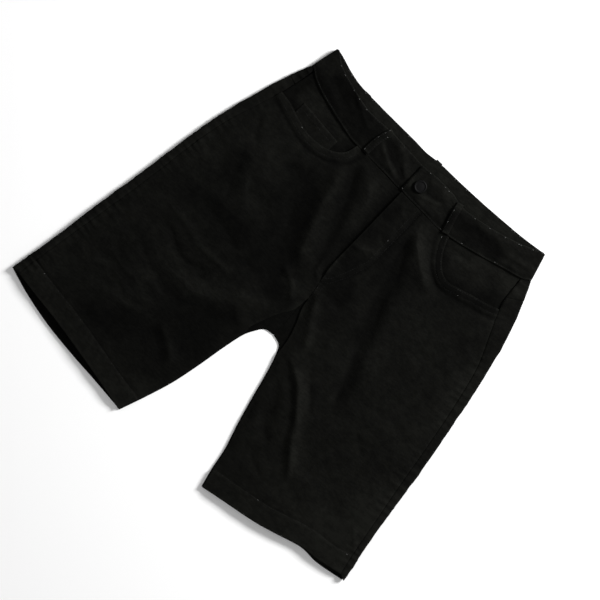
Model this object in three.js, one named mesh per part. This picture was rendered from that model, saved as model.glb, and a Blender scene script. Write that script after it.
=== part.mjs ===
// Denim bermuda shorts, laid flat with the front up.
// Millimetres. +X is the wearer's left, +Y runs up to the waist, +Z is up.
// The underside of the back rests on z = 0 and the plan is centred on the origin.
import * as THREE from 'three';

// ---- driving dimensions ----
const DENIM = 1.4;
const HEM_EXTRA = 1.6;
const BAND = 2.8;
const LOOP_THICK = 2.2;
const LOOP_WIDTH = 9.5;
const LOOP_PROUD = 1.1;
const THIN_CLOTH = 1.2;
const ZIP_TAPE = 1.0;
const GAP = 0.3;
const FRONT_LIFT = 6.8;
const BAND_LIFT = 7.1;
const TAB_LIFT = 8.4;
const TUCKED_LIFT = 5.2;
const BUTTON_RADIUS = 8.5;
const BUTTON_HEIGHT = 3.6;
const BUTTON_AT = [14, 212];
// heights of the middles of the hidden layers above the table
const BAG_MID = 2.3;
const SHIELD_MID = 2.3;
const ZIP_MID = 3.7;
const FACING_MID = 3.9;
const COIN_MID = 5.5;
const EDGE_MID = 2.4;
const TUCKED_BAND_MID = 5.0;
// share of the side edge and of the inseam that the hem takes
const HEM_SIDE = 0.0667;
const HEM_INSEAM = 0.1333;
const HEM_ROWS = 2;

// ---- outlines, wearer's right and left, each from the hem upwards ----
const CROTCH = [9, -58];
const FORK = [9, 8];
const OUTSEAM_R = [[-296, -230], [-292, -208], [-284, -165], [-276, -110], [-265, -50], [-258, -10],
  [-251, 35], [-240, 95], [-225, 150], [-209, 200]];
const OUTSEAM_L = [[296, -226], [293, -205], [286, -168], [279, -115], [270, -50], [260, 10],
  [250, 68], [240, 115], [231, 151], [214, 198]];
const HIP_R = [[-209, 200], [-203, 215], [-197.3, 227.4]];
const HIP_L = [[214, 198], [208, 212], [203.3, 221.4]];
const INSEAM_R = [[-68, -267], [-54, -229], [-42, -192], [-33, -152], [-26, -115], [-19, -86],
  [-11, -70]];
const INSEAM_L = [[78, -265], [72, -240], [66, -208], [56, -175], [47, -141], [38, -104], [30, -77]];
const FORK_EDGE_R = [[-20, -72], [-12, -50], [-4, -33], [6, -16], FORK];
const FORK_EDGE_L = [[30, -75], [27, -50], [20, -27], [12, -8], FORK];
const SIDE_R = [[-284, -229], [-281, -205], [-271, -150], [-258, -80], [-247, -15], [-239, 40], [-228, 95],
  [-213, 140], [-201, 177]];
const SIDE_L = [[287, -222], [281, -195], [272, -140], [262, -80], [252, -15], [241, 45], [229, 95],
  [212, 135], [198, 168]];
const SIDE_TOP_R = [[-201, 177], [-195, 200], [-190.2, 225.2]];
const SIDE_TOP_L = [[198, 168], [193, 190], [190.6, 216.6]];
const HEM_BACK_R = [[-296, -230], [-257, -242], [-210, -252], [-162, -258], [-115, -262], [-68, -267]];
const HEM_BACK_L = [[296, -226], [255, -233], [226, -233], [190, -243], [160, -251], [115, -259],
  [78, -265]];
const HEM_FRONT_R = [[-284, -229], [-250, -234], [-200, -241], [-150, -250], [-110, -258], [-68, -265]];
const HEM_FRONT_L = [[287, -222], [252, -228.5], [224, -231.5], [190, -242], [160, -250], [115, -258],
  [78, -263.5]];
const BAND_TOP_BACK = [[-188, 267], [-175, 265], [-153, 258], [-130, 253.5], [-95, 252], [-35, 251],
  [-10, 250], [13, 252], [60, 252.5], [110, 254], [155, 257], [192, 261]];
const BAND_LOW_BACK = [[-197, 228], [-160, 216], [-100, 211], [0, 210], [100, 212], [160, 217],
  [203, 222]];
const BAND_TOP_R = [[-188, 267], [-165, 254], [-130, 243], [-100, 237], [-60, 238], [-30, 236], [0, 234],
  [34, 230]];
const BAND_LOW_R = [[-197, 228], [-180, 219], [-160, 211], [-130, 203], [-100, 196], [-80, 194], [-35, 193],
  [0, 191], [34, 190]];
const BAND_TOP_L = [[192, 261], [160, 249], [130, 240], [95, 233], [70, 231], [50, 235], [20, 236],
  [-3, 234]];
const BAND_LOW_L = [[203, 222], [190, 217], [160, 209], [130, 201], [100, 194], [70, 189], [40, 190],
  [10, 191], [-3, 193]];
const MOUTH_R = [[-201, 177], [-180, 173], [-160, 166], [-138, 161], [-115, 162], [-98, 168], [-87, 178],
  [-82, 193.6]];
const MOUTH_L = [[198, 168], [180, 162], [160, 157], [140, 151], [127, 147.5], [113, 151], [99, 164],
  [90, 179], [86, 190.5]];
const FLY_EDGE = [FORK, [5, 34], [1, 60], [1, 110], [1, 190.7]];
const TUCKED_EDGE = [FORK, [5, 34], [1.2, 58], [6, 74], [7, 110], [7, 190.3]];
const UNDER_CROTCH_R = [-4, -61];
const UNDER_CROTCH_L = [23, -63];
const CENTRE_BACK = [CROTCH, [8, -20], [4, 40], [3, 145]];

// ---- curves ----
const lerp = (a, b, t) => a + (b - a) * t;
const mix = (p, q, t) => [lerp(p[0], q[0], t), lerp(p[1], q[1], t)];
const gapTo = (p, q) => Math.hypot(p[0] - q[0], p[1] - q[1]);

function ramp(from, to, value) {
  const t = Math.min(Math.max((value - from) / (to - from), 0), 1);
  return t * t * (3 - 2 * t);
}

// a smooth line through the points, cut into equal lengths
function smooth(points, parts) {
  const fine = [];
  const steps = 16;
  for (let i = 0; i < points.length - 1; i++) {
    const b = points[i];
    const c = points[i + 1];
    const a = points[i - 1] || [2 * b[0] - c[0], 2 * b[1] - c[1]];
    const d = points[i + 2] || [2 * c[0] - b[0], 2 * c[1] - b[1]];
    for (let k = 0; k < steps; k++) {
      const t = k / steps;
      fine.push([0, 1].map((m) => 0.5 * (2 * b[m] + (c[m] - a[m]) * t
        + (2 * a[m] - 5 * b[m] + 4 * c[m] - d[m]) * t * t
        + (3 * b[m] - a[m] - 3 * c[m] + d[m]) * t * t * t)));
    }
  }
  fine.push(points[points.length - 1]);
  const run = [0];
  for (let i = 1; i < fine.length; i++) run.push(run[i - 1] + gapTo(fine[i], fine[i - 1]));
  const out = [];
  let at = 1;
  for (let k = 0; k <= parts; k++) {
    const want = run[run.length - 1] * k / parts;
    while (at < run.length - 1 && run[at] < want) at++;
    out.push(mix(fine[at - 1], fine[at], (want - run[at - 1]) / (run[at] - run[at - 1])));
  }
  return out;
}

// several smooth lines end to end, each with its own number of parts
function chain(...pieces) {
  const out = [];
  for (const [points, parts] of pieces) out.push(...smooth(points, parts).slice(out.length ? 1 : 0));
  return out;
}

// the part of a line between two fractions of its length
function stretch(points, from, to) {
  const all = smooth(points, 60);
  return all.slice(Math.round(from * 60), Math.round(to * 60) + 1).filter((p, i, a) => i % 6 === 0
    || i === a.length - 1);
}

// a net of plan points between two side lines, bowed at both ends to the hem line and the top line
function net(outer, inner, low, high, across) {
  const rows = outer.length - 1;
  const lowLine = low ? smooth(low, across) : null;
  const highLine = high ? smooth(high, across) : null;
  return outer.map((o, j) => {
    const v = j / rows;
    const row = [];
    for (let i = 0; i <= across; i++) {
      const u = i / across;
      const p = mix(o, inner[j], u);
      for (const [line, share, end] of [[lowLine, 1 - v, 0], [highLine, v, rows]]) {
        if (!line) continue;
        const straight = mix(outer[end], inner[end], u);
        p[0] += share * (line[i][0] - straight[0]);
        p[1] += share * (line[i][1] - straight[1]);
      }
      row.push(p);
    }
    return row;
  });
}

// nearest distance from a plan point to a line of points
function awayFrom(line, x, y) {
  let best = Infinity;
  for (let i = 0; i < line.length - 1; i++) {
    const [ax, ay] = line[i];
    const ex = line[i + 1][0] - ax;
    const ey = line[i + 1][1] - ay;
    const t = Math.min(Math.max(((x - ax) * ex + (y - ay) * ey) / (ex * ex + ey * ey), 0), 1);
    best = Math.min(best, Math.hypot(x - ax - t * ex, y - ay - t * ey));
  }
  return best;
}

// ---- the lie of the front: soft ridges and troughs, each a line with a half-width and a height ----
const FOLDS = [
  { line: [[-72, 172], [-60, 125], [-48, 85], [-32, 50], [-15, 25]], wide: 12, high: 4.4 },
  { line: [[-95, 136], [-85, 90], [-70, 55], [-50, 20], [-15, -25]], wide: 19, high: -4.4 },
  { line: [[-63, 180], [-46, 140], [-33, 103], [-19, 73]], wide: 9, high: -3.2 },
  { line: [[-190, 5], [-129, 0], [-95, -14]], wide: 16, high: -3.4 },
  { line: [[-18, -34], [-50, -47], [-85, -70], [-125, -85], [-175, -80]], wide: 13, high: 4.2 },
  { line: [[-36, -70], [-62, -108], [-60, -170]], wide: 26, high: -3.6 },
  { line: [[-222, -203], [-166, -205], [-103, -168], [-62, -192]], wide: 14, high: -3.2 },
  { line: [[44, 168], [54, 140], [77, 80], [101, 10], [134, -60], [148, -92]], wide: 8, high: -4.2 },
  { line: [[45, 184], [60, 160], [80, 142], [124, 118]], wide: 11, high: 4.2 },
  { line: [[38, -66], [65, -78], [88, -100], [125, -152], [156, -188]], wide: 9, high: 4.8 },
  { line: [[38, -80], [60, -100], [75, -128], [118, -172]], wide: 8, high: -3.2 },
].map((fold) => ({ ...fold, line: smooth(fold.line, 14) }));
const FADE = 0.18;

function foldHeight(x, y) {
  let sum = 0;
  for (const { line, wide, high } of FOLDS) {
    let best = Infinity;
    let along = 0;
    for (let i = 0; i < line.length - 1; i++) {
      const [ax, ay] = line[i];
      const ex = line[i + 1][0] - ax;
      const ey = line[i + 1][1] - ay;
      const t = Math.min(Math.max(((x - ax) * ex + (y - ay) * ey) / (ex * ex + ey * ey), 0), 1);
      const away = Math.hypot(x - ax - t * ex, y - ay - t * ey);
      if (away < best) {
        best = away;
        along = (i + t) / (line.length - 1);
      }
    }
    const fade = ramp(0, FADE, along) * ramp(0, FADE, 1 - along);
    sum += high * fade * Math.exp(-((best / wide) ** 2));
  }
  return sum;
}

const INNER_EDGE = {
  right: chain([INSEAM_R, 14], [FORK_EDGE_R, 8]),
  left: chain([INSEAM_L, 14], [FORK_EDGE_L, 8]),
};
const MOUTH = { right: smooth(MOUTH_R, 16), left: smooth(MOUTH_L, 16) };

// height of the middle of the front cloth above the table
function frontHeight(x, y, side) {
  const toEdge = awayFrom(INNER_EDGE[side], x, y);
  const fly = ramp(22, 54, y) * (side === 'left' ? ramp(62, 38, x) : ramp(-34, -12, x));
  const flyLift = (side === 'left' ? TAB_LIFT : TUCKED_LIFT) - FRONT_LIFT;
  const band = ramp(150, 188, y);
  const toMouth = awayFrom(MOUTH[side], x, y);
  const floor = FACING_MID - 1.5 * Math.exp(-((toEdge / 10) ** 2)) + 3.1 * ramp(34, 14, toMouth);
  let z = FRONT_LIFT + flyLift * fly + 0.3 * band * (1 - fly);
  z -= (FRONT_LIFT - EDGE_MID) * Math.exp(-((toEdge / 9) ** 1.5));
  z += 1.6 * ramp(15, 90, toEdge) * (1 - band) * (1 - fly);
  z += foldHeight(x, y) * (1 - 0.8 * fly) * ramp(194, 176, y);
  const over = z - floor;
  return over > 4 ? z : floor + Math.log(1 + Math.exp(over * 2)) / 2;
}

// ---- solids ----
const denim = { color: 0x17171a, roughness: 0.92 };
const lining = { color: 0x141416, roughness: 0.95 };

function material(look) {
  return new THREE.MeshStandardMaterial({ metalness: 0, ...look });
}

// a closed wall of cloth about a net of middle points; each is {p, n, out, in}
function wall(name, grid, look) {
  const rows = grid.length;
  const cols = grid[0].length;
  const side = rows * cols;
  const at = [];
  for (const face of [1, -1]) {
    for (const row of grid) {
      for (const { p, n, out, inn } of row) {
        const reach = face > 0 ? out : -inn;
        at.push(p[0] + n[0] * reach, p[1] + n[1] * reach, p[2] + n[2] * reach);
      }
    }
  }
  const index = [];
  const quad = (a, b, c, d) => index.push(a, b, c, a, c, d);
  const id = (j, i, face) => face * side + j * cols + i;
  for (let j = 0; j < rows - 1; j++) {
    for (let i = 0; i < cols - 1; i++) {
      quad(id(j, i, 0), id(j, i + 1, 0), id(j + 1, i + 1, 0), id(j + 1, i, 0));
      quad(id(j, i, 1), id(j + 1, i, 1), id(j + 1, i + 1, 1), id(j, i + 1, 1));
    }
  }
  const rim = [];
  for (let i = 0; i < cols; i++) rim.push([0, i]);
  for (let j = 1; j < rows; j++) rim.push([j, cols - 1]);
  for (let i = cols - 2; i >= 0; i--) rim.push([rows - 1, i]);
  for (let j = rows - 2; j > 0; j--) rim.push([j, 0]);
  rim.forEach(([j, i], k) => {
    const [jn, inx] = rim[(k + 1) % rim.length];
    quad(id(j, i, 0), id(j, i, 1), id(jn, inx, 1), id(jn, inx, 0));
  });
  let volume = 0;
  for (let k = 0; k < index.length; k += 3) {
    const [a, b, c] = [0, 1, 2].map((m) => new THREE.Vector3().fromArray(at, index[k + m] * 3));
    volume += a.dot(b.cross(c));
  }
  if (volume < 0) {
    for (let k = 0; k < index.length; k += 3) [index[k + 1], index[k + 2]] = [index[k + 2], index[k + 1]];
  }
  const geometry = new THREE.BufferGeometry();
  geometry.setAttribute('position', new THREE.Float32BufferAttribute(at, 3));
  geometry.setIndex(index);
  geometry.computeVertexNormals();
  const mesh = new THREE.Mesh(geometry, material(look));
  mesh.name = name;
  return mesh;
}

const UP = [0, 0, 1];
const DOWN = [0, 0, -1];

// a sheet over a plan net, with its height and thickness given at each point
function sheet(name, plan, height, thick, look) {
  return wall(name, plan.map((row) => row.map(([x, y]) => {
    const t = typeof thick === 'function' ? thick(x, y) : { out: thick / 2, inn: thick / 2 };
    return { p: [x, y, height(x, y)], n: UP, ...t };
  })), look);
}

// ---- front panels ----
const BAND_SEAM_R = [[-60, 193.1], [-35, 192.2], [-14, 191]];
const BAND_SEAM_L = [[70, 188.4], [40, 189.4], [14, 190.2]];

function frontPanel(side) {
  const right = side === 'right';
  const seam = right ? SIDE_R : SIDE_L;
  const inseam = right ? INSEAM_R : INSEAM_L;
  const forkEdge = right ? FORK_EDGE_R : FORK_EDGE_L;
  const mouth = right ? MOUTH_R : MOUTH_L;
  const centre = right ? TUCKED_EDGE : FLY_EDGE;
  const sign = right ? -1 : 1;
  const inward = (points, by) => points.map(([x, y]) => [x - sign * by, y]);
  const edge = inward(seam, GAP);
  const outer = chain([stretch(edge, 0, HEM_SIDE), HEM_ROWS], [stretch(edge, HEM_SIDE, 0.5), 11],
    [stretch(edge, 0.5, 0.6833), 6], [stretch(edge, 0.6833, 1), 7], [mouth, 10]);
  const lean = inward(inseam, -1.5);
  const join = (points) => points.map(([x, y]) => [x + sign * GAP / 2, y]);
  const inner = chain([stretch(lean, 0, HEM_INSEAM), HEM_ROWS],
    [stretch(lean, HEM_INSEAM, 1).slice(0, -1).concat([forkEdge[0]]), 11], [join(forkEdge), 6],
    [stretch(join(centre), 0, 0.45), 7], [stretch(join(centre), 0.45, 1), 10]);
  const low = right ? HEM_FRONT_R : HEM_FRONT_L;
  const high = right ? BAND_SEAM_R : BAND_SEAM_L;
  const plan = net(outer, inner, [outer[0], ...low.slice(1, -1), inner[0]],
    [outer[outer.length - 1], ...high, inner[inner.length - 1]], 13);
  const grid = plan.map((row, j) => row.map(([x, y]) => {
    const extra = j <= HEM_ROWS ? HEM_EXTRA : 0;
    const inn = DENIM / 2 + extra;
    const clear = DENIM + extra + GAP + inn + 0.05;
    return { p: [x, y, Math.max(frontHeight(x, y, side), clear)], n: UP, out: DENIM / 2, inn };
  }));
  return wall(`front_panel_${side}`, grid, denim);
}

// ---- back panels and yokes: flat on the table, rolled over at the side and on to the front ----
const ROLL = (FRONT_LIFT - DENIM / 2) / 2;
const ROLL_STEPS = 4;
const SIDE_TOP_START = 0.8;

function backWall(name, outer, lip, inner, low, high, flatParts, hemRows) {
  const plan = net(outer, inner, low, high, flatParts);
  return wall(name, outer.map((o, j) => {
    const extra = j <= hemRows ? HEM_EXTRA : 0;
    const away = gapTo(o, lip[j]);
    const out = [(o[0] - lip[j][0]) / away, (o[1] - lip[j][1]) / away];
    const hub = [o[0] - out[0] * (ROLL + DENIM / 2), o[1] - out[1] * (ROLL + DENIM / 2)];
    const edge = { out: DENIM / 2, inn: DENIM / 2 + extra };
    const row = [];
    for (let i = flatParts; i >= 1; i--) {
      const p = plan[j][i];
      row.push({ p: [p[0], p[1], DENIM / 2], n: DOWN, ...edge });
    }
    for (let k = 0; k <= ROLL_STEPS; k++) {
      const turn = Math.PI * k / ROLL_STEPS;
      const n = [out[0] * Math.sin(turn), out[1] * Math.sin(turn), -Math.cos(turn)];
      const p = [hub[0] + n[0] * ROLL, hub[1] + n[1] * ROLL, DENIM / 2 + ROLL + n[2] * ROLL];
      row.push({ p, n, out: DENIM / 2, inn: DENIM / 2 + extra * 0.6 });
    }
    row.push({ p: [lip[j][0], lip[j][1], FRONT_LIFT], n: UP, ...edge });
    return row;
  }), denim);
}

function backPanel(side) {
  const right = side === 'right';
  const outseam = right ? OUTSEAM_R : OUTSEAM_L;
  const seam = right ? SIDE_R : SIDE_L;
  const seamTop = right ? SIDE_TOP_R : SIDE_TOP_L;
  const inseam = right ? INSEAM_R : INSEAM_L;
  const hem = right ? HEM_BACK_R : HEM_BACK_L;
  const sign = right ? -1 : 1;
  const under = right ? UNDER_CROTCH_R : UNDER_CROTCH_L;
  const centre = CENTRE_BACK.map(([x, y]) => [x + sign * GAP / 2, y]);
  const outer = chain([stretch(outseam, 0, HEM_SIDE), HEM_ROWS], [stretch(outseam, HEM_SIDE, 1), 25]);
  const lip = chain([stretch(seam, 0, HEM_SIDE), HEM_ROWS],
    [stretch(seam, HEM_SIDE, 1).concat([mix(seamTop[0], seamTop[1], SIDE_TOP_START)]), 25]);
  const inner = chain([stretch(inseam, 0, HEM_INSEAM), HEM_ROWS],
    [stretch(inseam, HEM_INSEAM, 1).concat([under, centre[0]]), 14], [centre, 11]);
  const low = [outer[0], ...hem.slice(1, -1), inner[0]];
  return backWall(`back_panel_${side}`, outer, lip, inner, low, null, 4, HEM_ROWS);
}

const YOKE_PARTS = 12;
const YOKE_SEAM = 145;
const CENTRE_X = 3;

// the back edge of a yoke follows the lower edge of the band, a seam away
function underBand(from, to) {
  const line = smooth(BAND_LOW_BACK, 60);
  const out = [];
  for (let k = 0; k <= YOKE_PARTS; k++) {
    const x = lerp(from, to, k / YOKE_PARTS);
    const i = Math.max(line.findIndex((p) => p[0] >= x), 1);
    const t = (x - line[i - 1][0]) / (line[i][0] - line[i - 1][0]);
    out.push([x, lerp(line[i - 1][1], line[i][1], t) - 2 * GAP]);
  }
  return out;
}

function yoke(side) {
  const right = side === 'right';
  const hip = right ? HIP_R : HIP_L;
  const seamTop = right ? SIDE_TOP_R : SIDE_TOP_L;
  const sign = right ? -1 : 1;
  const x = CENTRE_X + sign * GAP / 2;
  const outer = smooth(hip.map(([a, b]) => [a, b + GAP]), 3);
  const start = mix(seamTop[0], seamTop[1], SIDE_TOP_START);
  const lip = smooth([[start[0], start[1] + GAP], seamTop[1], seamTop[2]], 3);
  const top = underBand(outer[3][0], x);
  const inner = smooth([[x, YOKE_SEAM + GAP], top[YOKE_PARTS]], 3);
  return backWall(`back_yoke_${side}`, outer, lip, inner, null, [outer[3], ...top.slice(1)], YOKE_PARTS, -1);
}

// ---- waistband: one strip round the flattened waist, its left end lapped over its right ----
const BACK_LOOPS = [-118, 10, 126];

function bandBackHeight(x) {
  let rise = 0;
  for (const at of BACK_LOOPS) rise = Math.max(rise, ramp(28, 13, Math.abs(x - at)));
  return BAND / 2 + rise * (LOOP_THICK + GAP);
}

function waistband() {
  const across = 2;
  const rows = [];
  const add = (low, top, height, n) => {
    const row = [];
    for (let i = 0; i <= across; i++) {
      const [x, y] = mix(low, top, i / across);
      row.push({ p: [x, y, height(x, y)], n, out: BAND / 2, inn: BAND / 2 });
    }
    rows.push(row);
  };
  const radius = (BAND_LIFT - BAND / 2) / 2;
  const corner = (low, top, sign, from) => {
    for (let k = 1; k < ROLL_STEPS; k++) {
      const turn = Math.PI * k / ROLL_STEPS;
      const c = from * Math.cos(turn);
      const reach = radius * Math.sin(turn);
      add([low[0] + sign * reach, low[1]], [top[0] + sign * reach, top[1]],
        () => BAND / 2 + radius + c * radius, [sign * Math.sin(turn), 0, c]);
    }
  };
  const setIn = (line, sign) => line.map(([x, y], k) => [k === 0 ? x + sign * (radius + BAND / 2) : x, y]);
  const rightLow = smooth(setIn(BAND_LOW_R, 1), 22);
  const rightTop = smooth(setIn(BAND_TOP_R, 1), 22);
  for (let k = 22; k >= 0; k--) {
    add(rightLow[k], rightTop[k], (x) => lerp(BAND_LIFT, TUCKED_BAND_MID, ramp(-32, -8, x)), UP);
  }
  corner(rightLow[0], rightTop[0], -1, 1);
  const backLow = [rightLow[0], ...BAND_LOW_BACK.slice(1, -1), [203 - radius - BAND / 2, 222]];
  const backTop = [rightTop[0], ...BAND_TOP_BACK.slice(1, -1), [192 - radius - BAND / 2, 261]];
  const lowLine = smooth(backLow, 34);
  const topLine = smooth(backTop, 34);
  lowLine.forEach((low, k) => add(low, topLine[k], bandBackHeight, DOWN));
  corner(lowLine[34], topLine[34], 1, -1);
  const leftLow = smooth([lowLine[34], ...BAND_LOW_L.slice(1)], 22);
  const leftTop = smooth([topLine[34], ...BAND_TOP_L.slice(1)], 22);
  leftLow.forEach((low, k) => add(low, leftTop[k], (x) => lerp(BAND_LIFT, TAB_LIFT, ramp(64, 42, x)), UP));
  return wall('waistband', rows, denim);
}

// ---- belt loops: folded strips, held at both ends and standing a little proud between ----
function beltLoop(name, low, top, bow, height, face) {
  const along = smooth([low, mix(low, top, 0.5).map((c, m) => c + bow[m]), top], 6);
  const rows = along.map((p, k) => {
    const q = along[Math.min(k + 1, 6)];
    const o = along[Math.max(k - 1, 0)];
    const length = gapTo(o, q);
    const acrossX = (q[1] - o[1]) / length;
    const acrossY = -(q[0] - o[0]) / length;
    const proud = face * LOOP_PROUD * Math.sin(Math.PI * k / 6);
    return [-1, 0, 1].map((s) => ({
      p: [p[0] + acrossX * s * LOOP_WIDTH / 2, p[1] + acrossY * s * LOOP_WIDTH / 2, height + proud],
      n: UP,
      out: LOOP_THICK / 2,
      inn: LOOP_THICK / 2,
    }));
  });
  return wall(name, rows, denim);
}

// ---- pockets ----
function pocketPieces(side) {
  const right = side === 'right';
  const facingPlan = right
    ? net(smooth([[-207, 158], [-200.6, 177], [-194.6, 200], [-188.8, 224.6]], 4),
      smooth([[-72, 158], [-73, 175], [-74, 197]], 4),
      [[-207, 158], [-160, 146], [-110, 143], [-72, 158]],
      [[-188.8, 224.6], [-160, 215], [-130, 207], [-100, 200], [-74, 197]], 10)
    : net(smooth([[204, 150], [197.6, 168], [192.6, 190], [189.6, 218.6]], 4),
      smooth([[75, 158], [75.5, 175], [76, 193]], 4),
      [[204, 150], [160, 136], [110, 132], [75, 158]],
      [[189.6, 218.6], [160, 213], [130, 205], [100, 198], [76, 193]], 10);
  const bagPlan = right
    ? net(smooth([[-175, 62], [-198, 110], [-197, 165], [-190, 205]], 6),
      smooth([[-85, 62], [-64, 110], [-62, 160], [-64, 191]], 6),
      [[-175, 62], [-130, 50], [-85, 62]], null, 4)
    : net(smooth([[180, 52], [203, 100], [200, 155], [192, 200]], 6),
      smooth([[90, 52], [68, 100], [66, 150], [68, 188]], 6),
      [[180, 52], [135, 40], [90, 52]], null, 4);
  const facing = sheet(`pocket_facing_${side}`, facingPlan, () => FACING_MID, DENIM, denim);
  const bag = sheet(`pocket_bag_${side}`, bagPlan, () => BAG_MID, THIN_CLOTH, lining);
  return [facing, bag];
}

const COIN = net(smooth([[-172, 151], [-170, 187]], 3), smooth([[-106, 150], [-104, 180]], 3),
  null, null, 5);

// ---- fly ----
function flyPieces() {
  const shield = net(smooth([[-14, 50], [-14, 190]], 5), smooth([[24, 62], [32, 90], [32, 189]], 5),
    null, null, 3);
  const tape = net(smooth([[-9, 56], [-9, 188]], 4), smooth([[17, 56], [17, 188]], 4), null, null, 2);
  const facing = net(smooth([[8.6, 50], [8.3, 110], [8.3, 190]], 8),
    smooth([[20, 50], [34, 82], [38, 115], [38, 189.2]], 8), null, null, 3);
  return [
    sheet('fly_shield', shield, () => SHIELD_MID, THIN_CLOTH, denim),
    sheet('fly_zip', tape, () => ZIP_MID, ZIP_TAPE, lining),
    sheet('fly_facing', facing, (x, y) => frontHeight(x, y, 'left') - DENIM / 2 - GAP - THIN_CLOTH / 2,
      THIN_CLOTH, denim),
  ];
}

function button() {
  const floor = TAB_LIFT + BAND / 2 + GAP;
  const profile = [[0, 0], [5, 0], [5.4, 1.2], [BUTTON_RADIUS, 1.5], [BUTTON_RADIUS, 2.9],
    [7.6, BUTTON_HEIGHT], [6.2, 3.2], [0, 3.0]].map(([r, z]) => new THREE.Vector2(r, z));
  const geometry = new THREE.LatheGeometry(profile, 28);
  geometry.rotateX(Math.PI / 2);
  geometry.translate(...BUTTON_AT, floor);
  const mesh = new THREE.Mesh(geometry, new THREE.MeshStandardMaterial({
    color: 0x1a1a1c, roughness: 0.4, metalness: 0.8,
  }));
  mesh.name = 'waistband_button';
  return mesh;
}

const shorts = new THREE.Group();
shorts.name = 'denim_bermuda_shorts';
for (const side of ['right', 'left']) shorts.add(backPanel(side), yoke(side), frontPanel(side));
for (const side of ['right', 'left']) shorts.add(...pocketPieces(side));
shorts.add(sheet('coin_pocket', COIN, () => COIN_MID, THIN_CLOTH, denim));
shorts.add(...flyPieces());
shorts.add(waistband());
const overBand = BAND_LIFT + BAND / 2 + GAP + LOOP_THICK / 2;
shorts.add(beltLoop('belt_loop_front_right', [-69, 195], [-61, 239], [-2.5, 0], overBand, 1));
shorts.add(beltLoop('belt_loop_front_left', [79, 190], [67, 232.5], [-1, 0], overBand, 1));
const BACK_LOOP_FEET = [213.6, 210.6, 215];
BACK_LOOPS.forEach((x, k) => {
  const name = ['belt_loop_back_right', 'belt_loop_centre_back', 'belt_loop_back_left'][k];
  shorts.add(beltLoop(name, [x, BACK_LOOP_FEET[k]], [x, 253.5], [0, 0], LOOP_THICK / 2, 0));
});
shorts.add(button());

export default shorts;
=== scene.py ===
import math

import bpy
import numpy as np
from mathutils import Matrix, Vector


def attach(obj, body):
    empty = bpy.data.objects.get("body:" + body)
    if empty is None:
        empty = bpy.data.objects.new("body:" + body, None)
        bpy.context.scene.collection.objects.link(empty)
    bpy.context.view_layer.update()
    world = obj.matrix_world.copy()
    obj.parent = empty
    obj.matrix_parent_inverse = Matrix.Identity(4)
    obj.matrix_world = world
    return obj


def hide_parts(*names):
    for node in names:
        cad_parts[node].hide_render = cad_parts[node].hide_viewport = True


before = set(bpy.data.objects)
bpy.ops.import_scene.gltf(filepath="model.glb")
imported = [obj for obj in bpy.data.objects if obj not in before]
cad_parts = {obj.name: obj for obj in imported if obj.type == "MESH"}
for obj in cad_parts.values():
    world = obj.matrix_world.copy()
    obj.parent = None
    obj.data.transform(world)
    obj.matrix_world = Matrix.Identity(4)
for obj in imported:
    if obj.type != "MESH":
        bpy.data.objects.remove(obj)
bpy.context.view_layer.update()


# --- Back panels ---
# The two leg backs, of black cotton twill cut along the leg. Each rolls over at the
# outseam, so that its side seam lies on the front, and its hem is turned in twice
# and sewn. Sizes are in millimetres.
DENIM = 1.4
HALF = DENIM / 2
HEM = 27
HEM_EXTRA = 1.5
FRONT_LIFT = 6.8
ROLL = (FRONT_LIFT - HALF) / 2
CROTCH = (9, -58)
SEAM_GAP = 0.06
# how far the two plies lap where the centre back is felled
FELLED = 0.3

OUTSEAM = {
    "right": [(-296, -230), (-292, -208), (-284, -165), (-276, -110), (-265, -50), (-258, -10),
              (-251, 35), (-240, 95), (-225, 150), (-209, 200)],
    "left": [(296, -226), (293, -205), (286, -168), (279, -115), (270, -50), (260, 10),
             (250, 68), (240, 115), (231, 151), (214, 198)],
}
INSEAM = {
    "right": [(-68, -267), (-54, -229), (-42, -192), (-33, -152), (-26, -115), (-19, -86), (-11, -70)],
    "left": [(78, -265), (72, -240), (66, -208), (56, -175), (47, -141), (38, -104), (30, -77)],
}
SIDE_SEAM = {
    "right": [(-284, -229), (-281, -205), (-271, -150), (-258, -80), (-247, -15), (-239, 40),
              (-228, 95), (-213, 140), (-201, 177)],
    "left": [(287, -222), (281, -195), (272, -140), (262, -80), (252, -15), (241, 45),
             (229, 95), (212, 135), (198, 168)],
}
SIDE_SEAM_TOP = {
    "right": [(-201, 177), (-195, 200), (-189.9, 227)],
    "left": [(198, 168), (193, 190), (190.6, 218)],
}
HEM_BACK = {
    "right": [(-296, -230), (-257, -242), (-210, -252), (-162, -258), (-115, -262), (-68, -267)],
    "left": [(296, -226), (255, -233), (226, -233), (190, -243), (160, -251), (115, -259), (78, -265)],
}
CENTRE_BACK = [CROTCH, (8, -20), (4, 40), (3, 145)]
OUTWARD = {"right": -1, "left": 1}


def ramp(start, end, value):
    t = np.clip((value - start) / (end - start), 0, 1)
    return t * t * (3 - 2 * t)


def bell(away, wide):
    return np.exp(-((away / wide) ** 2))


def smooth(points, at):
    """A smooth line through the points, read at these fractions of its length."""
    p = np.asarray(points, float)
    p = np.vstack([2 * p[0] - p[1], p, 2 * p[-1] - p[-2]])
    t = np.arange(16)[:, None] / 16
    fine = []
    for a, b, c, d in zip(p[:-3], p[1:-2], p[2:-1], p[3:]):
        fine.append(0.5 * (2 * b + (c - a) * t + (2 * a - 5 * b + 4 * c - d) * t**2
                           + (3 * b - a - 3 * c + d) * t**3))
    fine = np.vstack(fine + [p[-2:-1]])
    run = np.r_[0, np.cumsum(np.hypot(*np.diff(fine, axis=0).T))]
    at = np.linspace(0, 1, at + 1) if np.isscalar(at) else np.asarray(at)
    return np.stack([np.interp(at * run[-1], run, fine[:, k]) for k in range(p.shape[1])], 1)


def length_of(points):
    return float(np.hypot(*np.diff(smooth(points, 60), axis=0).T).sum())


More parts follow.
